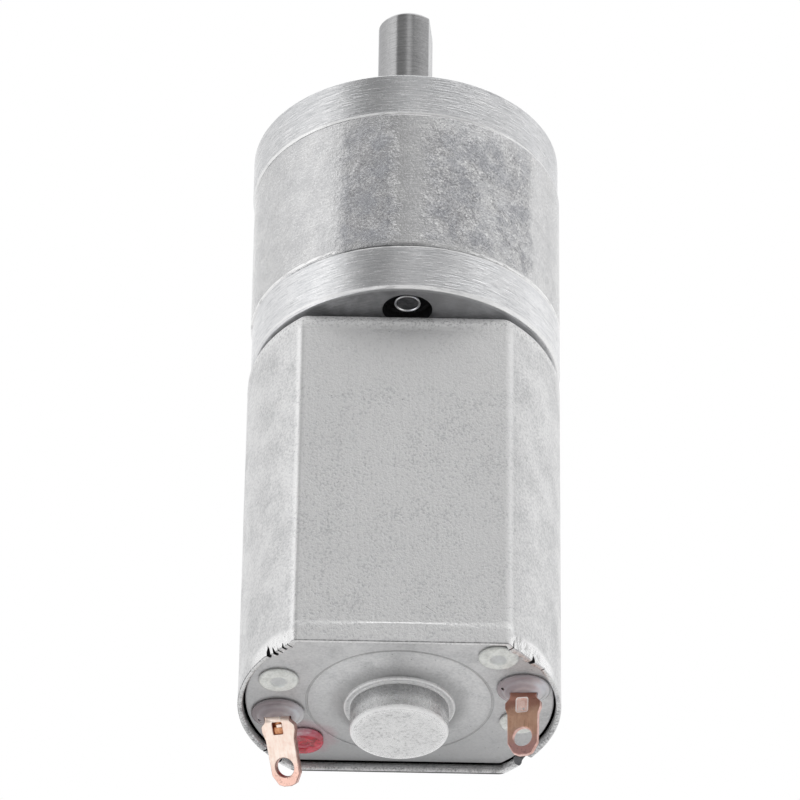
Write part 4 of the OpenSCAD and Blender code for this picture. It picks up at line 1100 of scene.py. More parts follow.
def make_ring_gear():
    loops = [(ring2(R, 320), 0.14), (gear_pts(42, 0.05, 1.2 * GM, 0.85 * GM, 4), 0.02)]
    loops += [(ring2(0.9, 48, (0, s * SCREW_R)), 0.03) for s in (-1, 1)]
    ob = slab("ring_gear_v", loops, Z_RING, Z_CAP - E)
    ob.data.transform(Matrix.Translation((SHIFT_RING, 0, 0)))
    return finish_piece(ob, "ring_gear", [M["sintered_ring"]])


def make_rear_plate():
    zb, zt = Z_MOT, Z_RING - E
    ra = R - 0.05
    ob = lathe("gearbox_rear_plate_v", [(3.12, zb, 0.04), (ra - 0.16, zb, 0.04), (ra, zb + 0.22, 0.05), (ra, zt - 0.12, 0.03),
                                        (ra - 0.12, zt, 0.03), (3.12, zt, 0.04)])
    for s in (-1, 1):
        boolean(ob, lathe("c", [(0, zb - 1), (POCKET_R + 0.03, zb - 1, 0), (POCKET_R + 0.03, zb - 0.01, 0), (POCKET_R, zb + 0.03, 0.02), (POCKET_R, zb + 0.92, 0.06), (POCKET_R - 0.10, zb + 1.0, 0.03), (0, zb + 1.0)],
                          128, (0, s * POCKET_Y)))
        rings = threaded_rod("t", (0, s * SCREW_R), zb + 0.8, zt + 0.3, 0.72, 0.82, 0.35)
        boolean(ob, from_rings("t", rings, caps=("f", "f")))
        boolean(ob, lathe("c", [(0, zb - 1), (0.95, zb - 1, 0), (0.95, zt - 1.19, 0), (1.7, zt - 1.19, 0.05), (1.7, zt + 1, 0), (0, zt + 1)], 64, (s * 5, 0)))
    ob.data.transform(Matrix.Translation((SHIFT_REAR, 0, 0)))
    finish_piece(ob, "gearbox_rear_plate", [M["turned_rear"], M["bore_dark"]])
    # the pockets' walls get the near-black bore material, as painted shade
    for f in ob.data.polygons:
        c = f.center * 1000
        if math.hypot(c.x - SHIFT_REAR, abs(c.y) - POCKET_Y) < POCKET_R + 0.012 and c.z > zb + 0.03:
            f.material_index = 1
    return ob


def make_gearbox_screws():
    whole = None
    for s in (-1, 1):
        c = (0, s * SCREW_R)
        zt = screws_hi[2]
        zb = Z_MOT + 0.04
        n = 64
        a = np.arange(n) * TAU / n
        prof = rounded([(0, zt), (1.5, zt, 0.06), (1.52, zt - 0.06, 0.02), (0.76, zt - 0.80, 0.05), (0.76, zb + 4.0, 0.02)], closed=False)
        rings = [circle(r, z, n, c) for r, z in prof[1:]]
        th = threaded_rod("t", c, zb + 0.30, zb + 3.9, 0.60, 0.775, 0.35, end0=0.02, end1=0.3, per=12)
        rings += th[::-1]
        rings += [circle(r, z, n, c) for r, z in ((0.62, zb + 0.24), (0.70, zb + 0.19), (0.80, zb + 0.15), (0.845, zb + 0.10), (0.845, zb + 0.05), (0.815, zb + 0.01),
                                                  (0.77, zb), (0.735, zb + 0.02), (0.70, zb + 0.07), (0.66, zb + 0.08))]
        ob = from_rings("screw", rings, caps=((c[0], c[1], zt), (c[0], c[1], zb + 0.08)))
        # cross recess with sloping walls
        for turn in (45, 135):
            hw, hl = 0.16, 0.86
            v = []
            for z, w, l in ((zt + 0.2, hw * 1.2, hl * 1.12), (zt - 0.55, hw * 0.62, hl * 0.5)):
                v += [(-l, -w, z), (l, -w, z), (l, w, z), (-l, w, z)]
            cc, ss = math.cos(math.radians(turn)), math.sin(math.radians(turn))
            v = [(c[0] + x * cc - y * ss, c[1] + x * ss + y * cc, z) for x, y, z in v]
            f = [(0, 1, 2, 3), (4, 7, 6, 5), (0, 4, 5, 1), (1, 5, 6, 2), (2, 6, 7, 3), (3, 7, 4, 0)]
            boolean(ob, new_object("x", v, f))
        whole = ob if whole is None else join(whole, ob)
    whole.name = "gearbox_screws_v"
    whole.data.transform(Matrix.Translation((SHIFT_REAR, 0, 0)))
    finish_piece(whole, "gearbox_screws", [M["screw_steel"], M["black_steel_and_shade"], M["screw_bright"]], sharp=40)
    # the screws down in the pockets are given the black steel as painted shade, and the thread's end ring the bright
    # steel as a painted highlight
    for f in whole.data.polygons:
        c = f.center * 1000
        if c.z < Z_MOT + 3.0:
            d = math.hypot(c.x - SHIFT_REAR, abs(c.y) - SCREW_R)
            f.material_index = 2 if d > 0.70 and c.z < Z_MOT + 0.20 else 1
    return whole


def d_outline(r, cut, n=192, rc=0.05):
    """A circle of radius r with its +X side cut flat at x = cut, the two corners slightly rounded."""
    if cut >= r:
        a = np.arange(n) * TAU / n
        return np.stack([r * np.cos(a), r * np.sin(a)], 1)
    cy = math.sqrt((r - rc) ** 2 - (cut - rc) ** 2)
    a0 = math.atan2(cy, cut - rc)
    nf, nc = 25, 5
    pts = []
    for k in range(nf):  # the flat, upwards
        t = -1 + 2 * k / (nf - 1)
        t = math.copysign(1 - (1 - abs(t)) ** 1.5, t)
        pts.append((cut, t * cy))
    for k in range(1, nc + 1):
        th = a0 * k / nc
        pts.append((cut - rc + rc * math.cos(th), cy + rc * math.sin(th)))
    m = n - nf - 2 * nc
    for k in range(1, m + 1):
        th = a0 + (TAU - 2 * a0) * k / (m + 1)
        pts.append((r * math.cos(th), r * math.sin(th)))
    for k in range(nc, 0, -1):
        th = -a0 * k / nc
        pts.append((cut - rc + rc * math.cos(th), -cy + rc * math.sin(th)))
    return np.array(pts)


def make_output_shaft():
    ft = math.radians(FLAT_TURN)
    rot = np.array([[math.cos(ft), -math.sin(ft)], [math.sin(ft), math.cos(ft)]])
    z0 = shaft_lo[2]
    top = SHAFT_L
    zf = top - 7.6
    rs = 2.0
    cut = 1.5

    def d_ring(r, c, z):
        p = d_outline(r, c) @ rot.T
        return np.column_stack([p, np.full(len(p), z)])

    def round_ring(r, z):
        """Circle with its points in step with the D outline's."""
        p = d_outline(2.0, cut)
        a = np.unwrap(np.arctan2(p[:, 1], p[:, 0]))
        q = np.stack([r * np.cos(a), r * np.sin(a)], 1) @ rot.T
        return np.column_stack([q, np.full(len(q), z)])

    prof = rounded([(0, z0), (1.7, z0, 0.03), (1.8, z0 + 0.1, 0.03), (1.8, z0 + 1.58, 0.03), (rs, z0 + 1.58, 0.03), (rs, PILOT_H + 0.1, 0.03),
                    (1.6, PILOT_H + 0.1, 0.03), (1.6, PILOT_H + 0.72, 0.03), (rs, PILOT_H + 0.72, 0.03), (rs, zf, 0.0)], closed=False)
    rings = [round_ring(r, z) for r, z in prof[1:-1]]
    rings.append(round_ring(rs, zf - 0.05))
    rings.append(round_ring(rs, zf - 0.012))
    rings.append(round_ring(rs - 0.012, zf))
    rings.append(d_ring(1.99, cut + 0.05, zf))
    rings.append(d_ring(1.995, cut + 0.012, zf + 0.015))
    rings.append(d_ring(1.995, cut, zf + 0.06))
    rings.append(d_ring(1.995, cut, zf + 0.1))
    for k in range(1, 12):
        rings.append(d_ring(1.995, cut, zf + 0.1 + (top - 0.27 - zf - 0.1) * k / 12))
    rings.append(d_ring(1.995, cut, top - 0.27))
    rings.append(d_ring(1.993, cut, top - 0.215))
    rings.append(d_ring(1.975, cut, top - 0.19))
    rings.append(d_ring(1.83, cut, top - 0.04))
    rings.append(d_ring(1.80, cut - 0.008, top - 0.008))
    rings.append(d_ring(1.77, cut - 0.03, top))
    rings.append(d_ring(1.72, cut - 0.06, top))
    ob = from_rings("output_shaft_v", rings, caps=((0, 0, z0), (0, 0, top)))
    finish_piece(ob, "output_shaft", [M["ground_steel"], M["ground_flat"]], sharp=40)
    for f in ob.data.polygons:
        c = f.center * 1000
        if c.z > zf and f.normal.x * math.cos(ft) + f.normal.y * math.sin(ft) > 0.97 and c.x * math.cos(ft) + c.y * math.sin(ft) < cut + 0.05:
            f.material_index = 1
    return ob


def make_clip():
    """Open retaining ring: a ring with a mouth and two round reliefs."""
    ro, ri, mouth, lobe = 3.0, 1.61, 1.2, 0.55
    ft = math.radians(FLAT_TURN)
    a_out = math.asin(mouth / ro)
    a_in = math.asin(min(0.99, mouth / ri))
    pts = [(ro * math.cos(t), ro * math.sin(t)) for t in np.linspace(a_out, TAU - a_out, 120)]
    inner = []
    cen = [(2.15 * math.cos(math.radians(a)), 2.15 * math.sin(math.radians(a))) for a in (250, 110)]
    for t in np.linspace(TAU - a_in, a_in, 160):
        r = ri
        d = (math.cos(t), math.sin(t))
        for cx, cy in cen:
            b = d[0] * cx + d[1] * cy
            disc = b * b - (cx * cx + cy * cy - lobe * lobe)
            if disc > 0 and b > 0:
                r = max(r, b + math.sqrt(disc))
        inner.append((r * d[0], r * d[1]))
    pts += inner
    c, s = math.cos(ft), math.sin(ft)
    pts = [(x * c - y * s, x * s + y * c) for x, y in pts]
    ob = slab("retaining_clip_v", [(pts, 0.06)], clip_lo[2], clip_hi[2], guard=0.02)
    return finish_piece(ob, "retaining_clip", [M["black_steel_and_shade"]])


# ---------------------------------------------------------------- motor can
STAKES = [(37.0, 4.2, 0.0), (144.5, 4.5, 0.05), (221.0, 8.0, 0.17), (320.3, 10.2, 0.17)]   # middle, half width in degrees, dent
# torn places in the rim: angle, half width and depth in mm
NOTCHES = [(36.6, 0.60, 0.62), (139.4, 0.16, 0.30), (143.6, 0.12, 0.38), (148.0, 0.08, 0.22),
           (215.4, 0.16, 0.74), (218.0, 0.13, 0.40), (220.3, 0.05, 0.20), (222.9, 0.08, 0.34), (225.4, 0.04, 0.12),
           (313.9, 0.05, 0.62), (325.4, 0.15, 0.40), (331.5, 0.05, 0.12)]


def can_stations():
    """Spacing is finer on the ends of the round sides, where the rim is staked."""
    rt = [float(x) for x in np.linspace(0, 0.66, 24, endpoint=False)] + [float(x) for x in np.round(np.linspace(0.66, 1.0, 80), 5)]
    ct = list(np.linspace(0, 1, 14)[1:])
    ft = list(np.linspace(0.985, 0, 34))
    return make_stations(rt, [float(x) for x in ct], [float(x) for x in ft])


def angle_gap(ang, deg):
    return (ang - math.radians(deg) + math.pi) % TAU - math.pi


def make_can():
    st = can_stations()
    rc = 0.62
    fil = 1.3
    zt, zb = Z_MOT, Z_RIM - 0.09
    rings = []
    kinds = []

    def ring(d, z, corner=None, kind="o"):
        p = outline(CAN_R - d, HALF - d, (rc if corner is None else corner), st)
        rings.append(np.column_stack([p, np.full(len(p), z)]))
        kinds.append(kind)

    # the rim's face, from the inside to the outside (rounded both sides)
    rr_in, rr_out = 0.12, 0.065
    inner = []
    # outer wall from the rim upwards
    for k in range(6):
        t = k / 5 * math.pi / 2
        ring(rr_out - rr_out * math.sin(t), zb + rr_out - rr_out * math.cos(t), None, "rim_out")
    zs = [0.19, 0.24, 0.3, 0.38, 0.46, 0.55, 0.65, 0.75, 0.85, 0.95, 1.05, 1.15, 1.22, 1.28, 1.32, 1.36, 1.40, 1.44, 1.48, 1.52, 1.56, 1.62, 1.7, 1.8, 1.95, 2.2, 2.6]
    zs += list(np.linspace(3.2, 25 - fil - 0.3, 34))
    zs += [25 - fil - 0.06, 25 - fil]
    for h in zs:
        ring(0, zb + h)
    for k in range(1, 13):
        t = k / 12 * math.pi / 2
        ring(fil - fil * math.cos(t), zt - fil + fil * math.sin(t))
    ring(fil + 0.04, zt)
    ring(fil + 1.2, zt)
    # front face, raised disc in the middle, and its bore
    base = outline(CAN_R, HALF, rc, st)
    ang = np.arctan2(base[:, 1], base[:, 0])

    def circ(r, z):
        rings.append(np.stack([r * np.cos(ang), r * np.sin(ang), np.full(len(ang), z)], 1))
        kinds.append("c")

    hub_top = round(can_hi[2], 3)
    for r, z in rounded([(4.2, zt, 0), (3.05, zt, 0.06), (3.05, hub_top, 0.05), (2.26, hub_top, 0.03), (2.26, zt - 1.3, 0.02), (1.6, zt - 1.3, 0.02), (1.6, zt - 1.49, 0)], closed=False)[1:-1]:
        circ(r, z)
    circ(1.62, zt - 0.5 - 0.85)
    circ(2.6, zt - 0.5 - 0.85)
    circ(2.75, zt - 0.5 - 0.8)
    circ(2.8, zt - 0.52)
    circ(3.4, zt - WALL)
    fi = 0.8
    ring(WALL + fi + 0.04, zt - WALL, 0.3)
    for k in range(10, -1, -1):
        t = k / 10 * math.pi / 2
        ring(WALL + fi - fi * math.cos(t), zt - WALL - fi + fi * math.sin(t), 0.3)
    for h in list(np.linspace(22.5, 2.6, 6)) + [2.0, 1.6, 1.3, 1.1, 0.9, 0.75, 0.62, 0.52, 0.45, 0.40, 0.37, 0.33, 0.28, 0.22, 0.17, 0.13]:
        ring(WALL, zb + h, 0.3, "in")
    for k in range(5):
        t = k / 5 * math.pi / 2
        ring(WALL - rr_in + rr_in * math.cos(t), zb + rr_in - rr_in * math.sin(t), 0.3, "rim_in")
    ring(WALL - rr_in, zb, 0.3, "rim")
    ring((WALL + rr_out - rr_in) / 2 - 0.02, zb, 0.45, "rim")
    P = np.concatenate(rings)
    n = len(st)
    ob = from_rings("motor_can_v", rings, wrap=True)

    # press marks, staking and small unevenness, all on the vertices
    co = np.array([v.co for v in ob.data.vertices])
    h = co[:, 2] - zb
    r = np.hypot(co[:, 0], co[:, 1])
    rad = co[:, :2] / np.maximum(r, 1e-6)[:, None]
    outer = np.repeat(np.array([k in ("o", "rim_out", "rim") for k in kinds]), n) & (h < 24)
    inside = np.repeat(np.array([k in ("in", "rim_in") for k in kinds]), n)
    flat = smoothstep(HALF - 0.5, HALF - 0.12, np.abs(co[:, 1]))
    sy = np.sign(co[:, 1])
    # sized band above the rim: the flats are a little fuller there, with a crease
    edge = np.clip((np.abs(co[:, 0]) - 1.0) / 5.0, 0, 1)
    zc = 1.40 - 0.10 * edge
    soft = 0.045 + 0.25 * edge
    above = smoothstep(zc - soft, zc + soft, h)
    co[:, 1] -= np.where(outer, sy * flat * above * 0.034, 0)
    # a soft swell of the whole can, as drawn parts have
    for i in range(len(co)):
        if outer[i]:
            q = Vector((co[i][0] * 0.22, co[i][1] * 0.22, co[i][2] * 0.16 + 3.7))
            w = min(1.0, max(0.0, (h[i] - 0.1) / 1.5))
            d = noise.noise(q) * 0.018 * w - 0.018 * w
            co[i][0] += rad[i][0] * d
            co[i][1] += rad[i][1] * d
    # stakes: the wall is dented inwards between torn places in the rim
    ang0 = np.arctan2(co[:, 1], co[:, 0])
    low = np.where(h < 1.6)[0]
    for i in low:
        if not (outer[i] or inside[i]):
            continue
        a = ang0[i]
        for mid, half, dent in STAKES:
            d = abs(math.degrees(angle_gap(a, mid))) / half
            if d >= 1:
                continue
            w = 1 - float(smoothstep(0.5, 1.0, d))
            q = Vector((co[i][0] * 3.3, co[i][1] * 3.3, co[i][2] * 2.2 + mid))
            jag = noise.noise(q) + 0.6 * noise.noise(q * 2.9)
            if inside[i] and h[i] < 0.385:
                push = 0.30 * w * (1 + 0.4 * jag)
            elif outer[i]:
                fall = 1 - float(smoothstep(0.0, 1.05 + 0.3 * jag, h[i]))
                push = (dent + 0.05 * jag) * w * fall
            else:
                continue
            co[i][0] -= rad[i][0] * push
            co[i][1] -= rad[i][1] * push
    co[:, 2] = np.maximum(co[:, 2], zb)
    ob.data.vertices.foreach_set("co", co.astype(np.float32).ravel())
    ob.data.update()
    tears = None
    for k, (mid, half, depth) in enumerate(NOTCHES):
        a = math.radians(mid)
        prof = [(-1.15, -0.4), (1.15, -0.4), (1.0, 0.0), (0.85, 0.30), (0.62, 0.62), (0.28, 0.80), (0.05, 1.0), (-0.30, 0.90), (-0.55, 0.66), (-0.80, 0.42), (-0.95, 0.0)]
        v = []
        for rr, lean in ((IN_R - 0.75, -0.4), (CAN_R + 0.4, 0.4)):
            for j, (u, w) in enumerate(prof):
                q = 0.22 * noise.noise(Vector((j * 1.7, k * 3.1, rr)))
                t = (u + lean * w * math.sin(k * 2.3) + q) * half
                v.append((rr * math.cos(a) - t * math.sin(a), rr * math.sin(a) + t * math.cos(a), zb + (w if w < 0 else w * (1 + 0.8 * q)) * depth))
        n0 = len(prof)
        faces = [tuple(range(n0))[::-1], tuple(range(n0, 2 * n0))] + [(j, (j + 1) % n0, n0 + (j + 1) % n0, n0 + j) for j in range(n0)]
        w = new_object("tear", v, faces)
        tears = w if tears is None else join(tears, w)
    boolean(ob, tears)
    for s in (-1, 1):
        boolean(ob, lathe("c", [(0, zt - 3), (0.85, zt - 3, 0), (0.85, zt + 1, 0), (0, zt + 1)], 48, (s * 5, 0)))
    finish_piece(ob, "motor_can", [M["plated_can"], M["cut_edge"], M["rim_corner_and_shade"], M["gap"], M["torn"]], sharp=50)
    # the rim's notches, inner wall and far inner edge get near-black materials as painted shade; the rim corner and cut
    # faces take materials with painted light and shade of their own
    for f in ob.data.polygons:
        c = f.center * 1000
        if c.z > zb + 1.5:
            continue
        outward = (f.normal.x * c.x + f.normal.y * c.y) / math.hypot(c.x, c.y)
        torn = any(abs(angle_gap(math.atan2(c.y, c.x), mid)) * 9.8 < half * 1.6 for mid, half, depth in NOTCHES)
        if torn and abs(outward) < 0.6 and c.z < zb + 0.8 and (f.normal.z > -0.35 or c.z > zb + 0.07):
            f.material_index = 4
        elif f.normal.z < -0.35:
            f.material_index = 0 if c.z > zb + 0.10 else 2 if (outward > 0.30 and f.normal.z > -0.95) else 1
        elif outward < -0.4 and c.z > Z_PLATE:
            f.material_index = 3
        elif outward < -0.25 and c.y > 6 and c.z < zb + 0.25:
            f.material_index = 1
    return ob


def make_end_plate():
    st = can_stations()
    zp, zi = Z_PLATE, Z_IN
    d0 = 0.13
    r0, h0 = IN_R - d0, IN_HALF - 0.20
    base = outline(r0, h0, 0.35, st)
    ang = np.arctan2(base[:, 1], base[:, 0])
    rings = []

    def ring(d, z):
        p = outline(r0 - d, h0 - d, 0.35, st)
        rings.append(np.column_stack([p, np.full(len(p), z)]))

    def circ(r, z):
        rings.append(np.stack([r * np.cos(ang), r * np.sin(ang), np.full(len(ang), z)], 1))

    for k in range(5):
        t = k / 4 * math.pi / 2
        ring(0.06 - 0.06 * math.cos(t) if False else 0.06 * (1 - math.sin(math.pi / 2 - t)), zi - 0.06 + 0.06 * math.sin(t))
    rings.reverse()
    ring(0, zp + 0.14)
    for k in range(1, 6):
        t = k / 5 * math.pi / 2
        ring(0.11 - 0.11 * math.cos(t), zp + 0.11 - 0.11 * math.sin(t))
    ring(0.15, zp)
    ring(0.5, zp)
    # outer face towards the middle: faint pressed ring, stepped base, collar and hub
    hub = [(6.02, zp, 0), (5.88, zp, 0.03), (5.86, zp + 0.05, 0.02), (5.73, zp + 0.05, 0.02), (5.70, zp, 0.03), (4.95, zp, 0)]
    hub += [(4.78 + 2.4 * math.cos(math.radians(t)), zp - 2.4 + 2.4 * math.sin(math.radians(t)), 0) for t in np.linspace(92, 121, 12)]
    hub += [(3.475, zp - 0.375, 0.02), (3.46, zp - 0.47, 0.05), (3.39, zp - 0.57, 0.05), (3.11, zp - 0.48, 0.02), (3.07, zp - 0.49, 0.02),
            (3.07, zp - HUB_H, 0.27), (2.0, zp - HUB_H, 0)]
    for r, z in rounded(hub, closed=False, n=7)[:-1]:
        circ(r, z)
    circ(2.0, zp - HUB_H)
    circ(1.0, zp - HUB_H)
    circ(0.35, zp - HUB_H)
    outer_n = len(rings)
    verts_rings = rings
    # inner side: bore for the bush, then back out along the inner face
    rings2 = []
    ang_ = ang
    for r, z in rounded([(0.4, zp - HUB_H + 0.5, 0), (2.45, zp - HUB_H + 0.5, 0.05), (2.45, zi, 0.05), (4.4, zi, 0)], closed=False)[1:-1]:
        rings2.append(np.stack([r * np.cos(ang_), r * np.sin(ang_), np.full(len(ang_), z)], 1))
    n = len(st)
    allr = rings + [np.tile([[0, 0, zp - HUB_H]], (1, 1))]
    verts = np.concatenate(rings + rings2).tolist()
    faces = []
    m = len(rings)
    for i in range(m - 1):
        a, b = i * n, (i + 1) * n
        for k in range(n):
            faces.append((a + k, a + (k + 1) % n, b + (k + 1) % n, b + k))
    verts.append([0, 0, zp - HUB_H])
    ci = len(verts) - 1
    a = (m - 1) * n
    for k in range(n):
        faces.append((a + k, a + (k + 1) % n, ci))
    s0 = m * n
    m2 = len(rings2)
    for i in range(m2 - 1):
        a, b = s0 + i * n, s0 + (i + 1) * n
        for k in range(n):
            faces.append((a + k, a + (k + 1) % n, b + (k + 1) % n, b + k))
    verts.append([0, 0, zp - HUB_H + 0.5])
    ci = len(verts) - 1
    for k in range(n):
        faces.append((s0 + k, s0 + (k + 1) % n, ci))
    a, b = s0 + (m2 - 1) * n, 0
    for k in range(n):
        faces.append((a + k, a + (k + 1) % n, b + (k + 1) % n, b + k))
    ob = new_object("end_plate_v", verts, faces)
    for v in ob.data.vertices:
        pass
    for p in PEGS:
        boolean(ob, lathe("c", [(0, zp - 1), (0.97, zp - 1, 0), (0.97, zi + 1, 0), (0, zi + 1)], 48, p))
    for t in (TERM_L, TERM_R):
        boolean(ob, lathe("c", [(0, zp - 1), (1.35, zp - 1, 0), (1.35, zi + 1, 0), (0, zi + 1)], 64, t["p"]))
    finish_piece(ob, "end_plate", [M["plated_plate"], M["gap"]], sharp=50)
    # the plate's edge walls get the near-black steel, as painted shade
    for f in ob.data.polygons:
        c = f.center * 1000
        if abs(f.normal.z) < 0.3 and c.z > zp + 0.1 and (math.hypot(c.x, c.y) > r0 - 0.1 or abs(c.y) > h0 - 0.1):
            f.material_index = 1
    return ob


def make_brush_holder():
    zp, zi = Z_PLATE, Z_IN
    st = make_stations(list(np.linspace(0, 1, 20)), list(np.linspace(0, 1, 6)[1:]), list(np.linspace(1, 0, 10)[1:]))
    out = outline(IN_R - 0.12, IN_HALF - 0.12, 0.3, st)
    ob = slab("brush_holder_v", [(out, 0.08), (ring2(3.3, 96), 0.05)], zi + E, zi + 1.21)
    top = zp - 0.27
    for p in PEGS:
        peg = lathe("c", [(0, zi + 0.3), (0.95, zi + 0.3, 0), (0.95, zp - E, 0), (1.14, zp - E, 0), (1.15, zp - 0.055, 0.01), (1.25, zp - 0.065, 0.02),
                          (1.245, zp - 0.13, 0.05), (1.10, zp - 0.225, 0.20), (0.72, top, 0.12), (0.53, top + 0.005, 0.04), (0.44, top + 0.065, 0.05), (0, top + 0.07)], 96, p, corners=6)
        boolean(ob, peg, "UNION")
    for t in (TERM_L, TERM_R):
        tp = zp - 0.5
        boss = lathe("c", [(0, zi + 0.3), (1.33, zi + 0.3, 0), (1.33, zp - E, 0), (1.55, zp - E, 0), (1.56, zp - 0.07, 0.01), (1.67, zp - 0.08, 0.02),
                           (1.67, zp - 0.16, 0.06), (1.56, zp - 0.235, 0.10), (1.40, zp - 0.265, 0.06), (1.20, zp - 0.40, 0.22), (0.88, tp, 0.22), (0, tp)], 128, t["p"], corners=6)
        boolean(ob, boss, "UNION")
    for t in (TERM_L, TERM_R):
        boolean(ob, box_object("s", (-0.86, -t["t"] / 2 - 0.03, zp - 3), (0.86, t["t"] / 2 + 0.03, zp + 6), t["slot"], (*t["p"], 0)))
    pits = [(TERM_L["p"][0] - 1.15, TERM_L["p"][1] + 0.4), (TERM_R["p"][0] - 1.3, TERM_R["p"][1] - 0.3)]
    for c in pits:
        boolean(ob, lathe("c", [(0, zp - 0.6), (0.12, zp - 0.6, 0), (0.10, zp - 0.16, 0.04), (0, zp - 0.16)], 24, c))
    finish_piece(ob, "brush_holder", [M["nylon"], M["boss_l"], M["boss_r"], M["red_peg"], M["bore_dark"]], sharp=45)
    for f in ob.data.polygons:
        c = f.center * 1000
        if c.z > zi:
            continue
        for k, t in enumerate((TERM_L, TERM_R)):
            if math.hypot(c.x - t["p"][0], c.y - t["p"][1]) < 1.72:
                f.material_index = 1 + k
        if math.hypot(c.x - PEGS[2][0], c.y - PEGS[2][1]) < 1.27:
            f.material_index = 3
        # the pits get the near-black bore material, as painted shade
        for q in pits:
            if math.hypot(c.x - q[0], c.y - q[1]) < 0.105:
                f.material_index = 4
    return ob


def make_mark():
    c = PEGS[2]
    top = Z_PLATE - 0.27
    ob = lathe("polarity_mark_v", [(0, top + 0.045), (0.42, top + 0.04, 0.05), (0.53, top - 0.02, 0.05), (0.78, top - 0.035, 0.10), (1.08, top + 0.005, 0.10),
                                   (1.22, top + 0.08, 0.08), (1.29, top + 0.18, 0.03), (1.29, top + 0.262, 0.01), (0, top + 0.262)], 96, (c[0] - 0.03, c[1] + 0.36), corners=6)
    return finish_piece(ob, "polarity_mark", [M["red_mark"]], sharp=60)


def rounded_poly(pts, n=3):
    return rounded(pts, closed=True, n=n, guard=0.0)


def make_terminal(name, node, T, mats):
    L = T["length"]
    w0, w1, ws, top = T["w0"], T["w1"], T["ws"], T["top"]
    half = [(0.26, -L, 0.08), (0.59, -L + 0.13, 0.08), (w1, -L + 0.75, 0.12), (w0, -1.3, 0.15), (ws, top - 0.62, 0.10), (ws, top - 0.28, 0.14), (0.86, top, 0.10),
            (0.82, top + 0.1, 0.03), (0.82, 5.5, 0.05)]
    pts = [(x, y, r) for x, y, r in half] + [(-x, y, r) for x, y, r in half[::-1]]
    out = rounded_poly(pts)
    a, b = T["win"]
    x0, x1 = -0.36, 0.28
    win = rounded_poly([(x0, a, 0.07), (x1, a, 0.07), (x1, b, 0.07), (x0, b, 0.07)])
    hole = ring2(T["r"], 64, (0, -T["hole"]))
    t = T["t"]
    ob = slab(name, [(out, 0.05), (win, 0.05 if T is TERM_L else 0.09), (hole, 0.06)], -t / 2, t / 2, guard=0.02)
    g = 0.015
    if T is TERM_L:
        # pierced catch: a sloping floor with a tab standing in from one side
        floor = rounded_poly([(x0 - g, a - g, 0.06), (x1 + g, a - g, 0.06), (x1 + g, b - 0.34, 0.04), (x0 + 0.20, b - 0.30, 0.04), (x0 - g, b - 0.30, 0.04)])
        join(ob, slab("f", [(floor, 0.03)], -t / 2 + 0.13, t / 2 - 0.05, guard=0.01))
        tab = rounded_poly([(x0 + 0.26, b - 0.12, 0.05), (x0 + 0.26, b - 0.34, 0.05), (x1 + g, b - 0.34, 0.02), (x1 + g, b - 0.12, 0.02)])
        join(ob, slab("f", [(tab, 0.03)], -t / 2 + 0.01, t / 2 - 0.06, guard=0.01))
        back = rounded_poly([(x0 - g, b - 0.5, 0.02), (x1 + g, b - 0.5, 0.02), (x1 + g, b + g, 0.02), (x0 - g, b + g, 0.02)])
        join(ob, slab("f", [(back, 0.02)], t / 2 - 0.12, t / 2 - 0.04, guard=0.01))
    else:
        floor = rounded_poly([(x0 - g, a - g, 0.06), (x1 + g, a - g, 0.06), (x1 + g, b + g, 0.06), (x0 - g, b + g, 0.06)])
        join(ob, slab("f", [(floor, 0.02), (ring2(0.085, 20, (0.02, a + 0.2)), 0.01)], -t / 2 + 0.12, -t / 2 + 0.24, guard=0.01))
        inner = rounded_poly([(x0 + 0.13, a + 0.30, 0.08), (x1 - 0.13, a + 0.30, 0.08), (x1 - 0.13, b - 0.10, 0.08), (x0 + 0.13, b - 0.10, 0.08)])
        join(ob, slab("f", [(inner, 0.03)], -t / 2 + 0.07, -t / 2 + 0.20, guard=0.01))
    me = ob.data
    bm = bmesh.new()
    bm.from_mesh(me)
    for v in np.arange(-1.9, 0.5, 0.08):
        bmesh.ops.bisect_plane(bm, geom=bm.verts[:] + bm.edges[:] + bm.faces[:], plane_co=(0, float(v), 0), plane_no=(0, 1, 0), dist=1e-5)
    bm.faces.ensure_lookup_table()
    for f in bm.faces:
        f.normal_update()
        f.material_index = 0 if abs(f.normal.z) > 0.75 else 1
        c = f.calc_center_median()
        if x0 - 0.03 < c.x < x1 + 0.03 and a - 0.03 < c.y < b + 0.03 and c.z > -t / 2 + 0.03:
            f.material_index = 2
        elif T is TERM_R and x0 - 0.09 < c.x < x1 + 0.09 and a - 0.09 < c.y < b + 0.09 and abs(f.normal.z) < 0.98 and c.z < 0:
            f.material_index = 3
    bm.to_mesh(me)
    bm.free()
    mat_idx = [p.material_index for p in me.polygons]
    zb = Z_PLATE - 0.5
    p = T["p"]
    yaw, lean, bend, slot = (math.radians(T[k]) for k in ("yaw", "lean", "bend", "slot"))
    A = Matrix.Rotation(lean, 3, "Y") @ Matrix.Rotation(bend, 3, "X") @ Matrix.Rotation(yaw, 3, "Z")
    B = Matrix.Rotation(slot, 3, "Z")
    for v in me.vertices:
        u, s, w = v.co.x, v.co.y, v.co.z
        loc = Vector((u, w, s))
        k = float(smoothstep(*((-0.22, 0.18) if T is TERM_L else (-0.10, 0.42)), np.float64(-s)))
        q = (A @ loc) * k + (B @ loc) * (1 - k)
        v.co = Vector((p[0], p[1], zb)) + q
    me.update()
    bm = bmesh.new()
    bm.from_mesh(me)
    bmesh.ops.recalc_face_normals(bm, faces=bm.faces)
    bm.to_mesh(me)
    bm.free()
    for poly, i in zip(me.polygons, mat_idx):
        poly.material_index = i
    idx = [pl.material_index for pl in me.polygons]
    finish_piece(ob, node, mats, sharp=50, weighted=True)
    for poly, i in zip(ob.data.polygons, idx):
        poly.material_index = i
    return ob


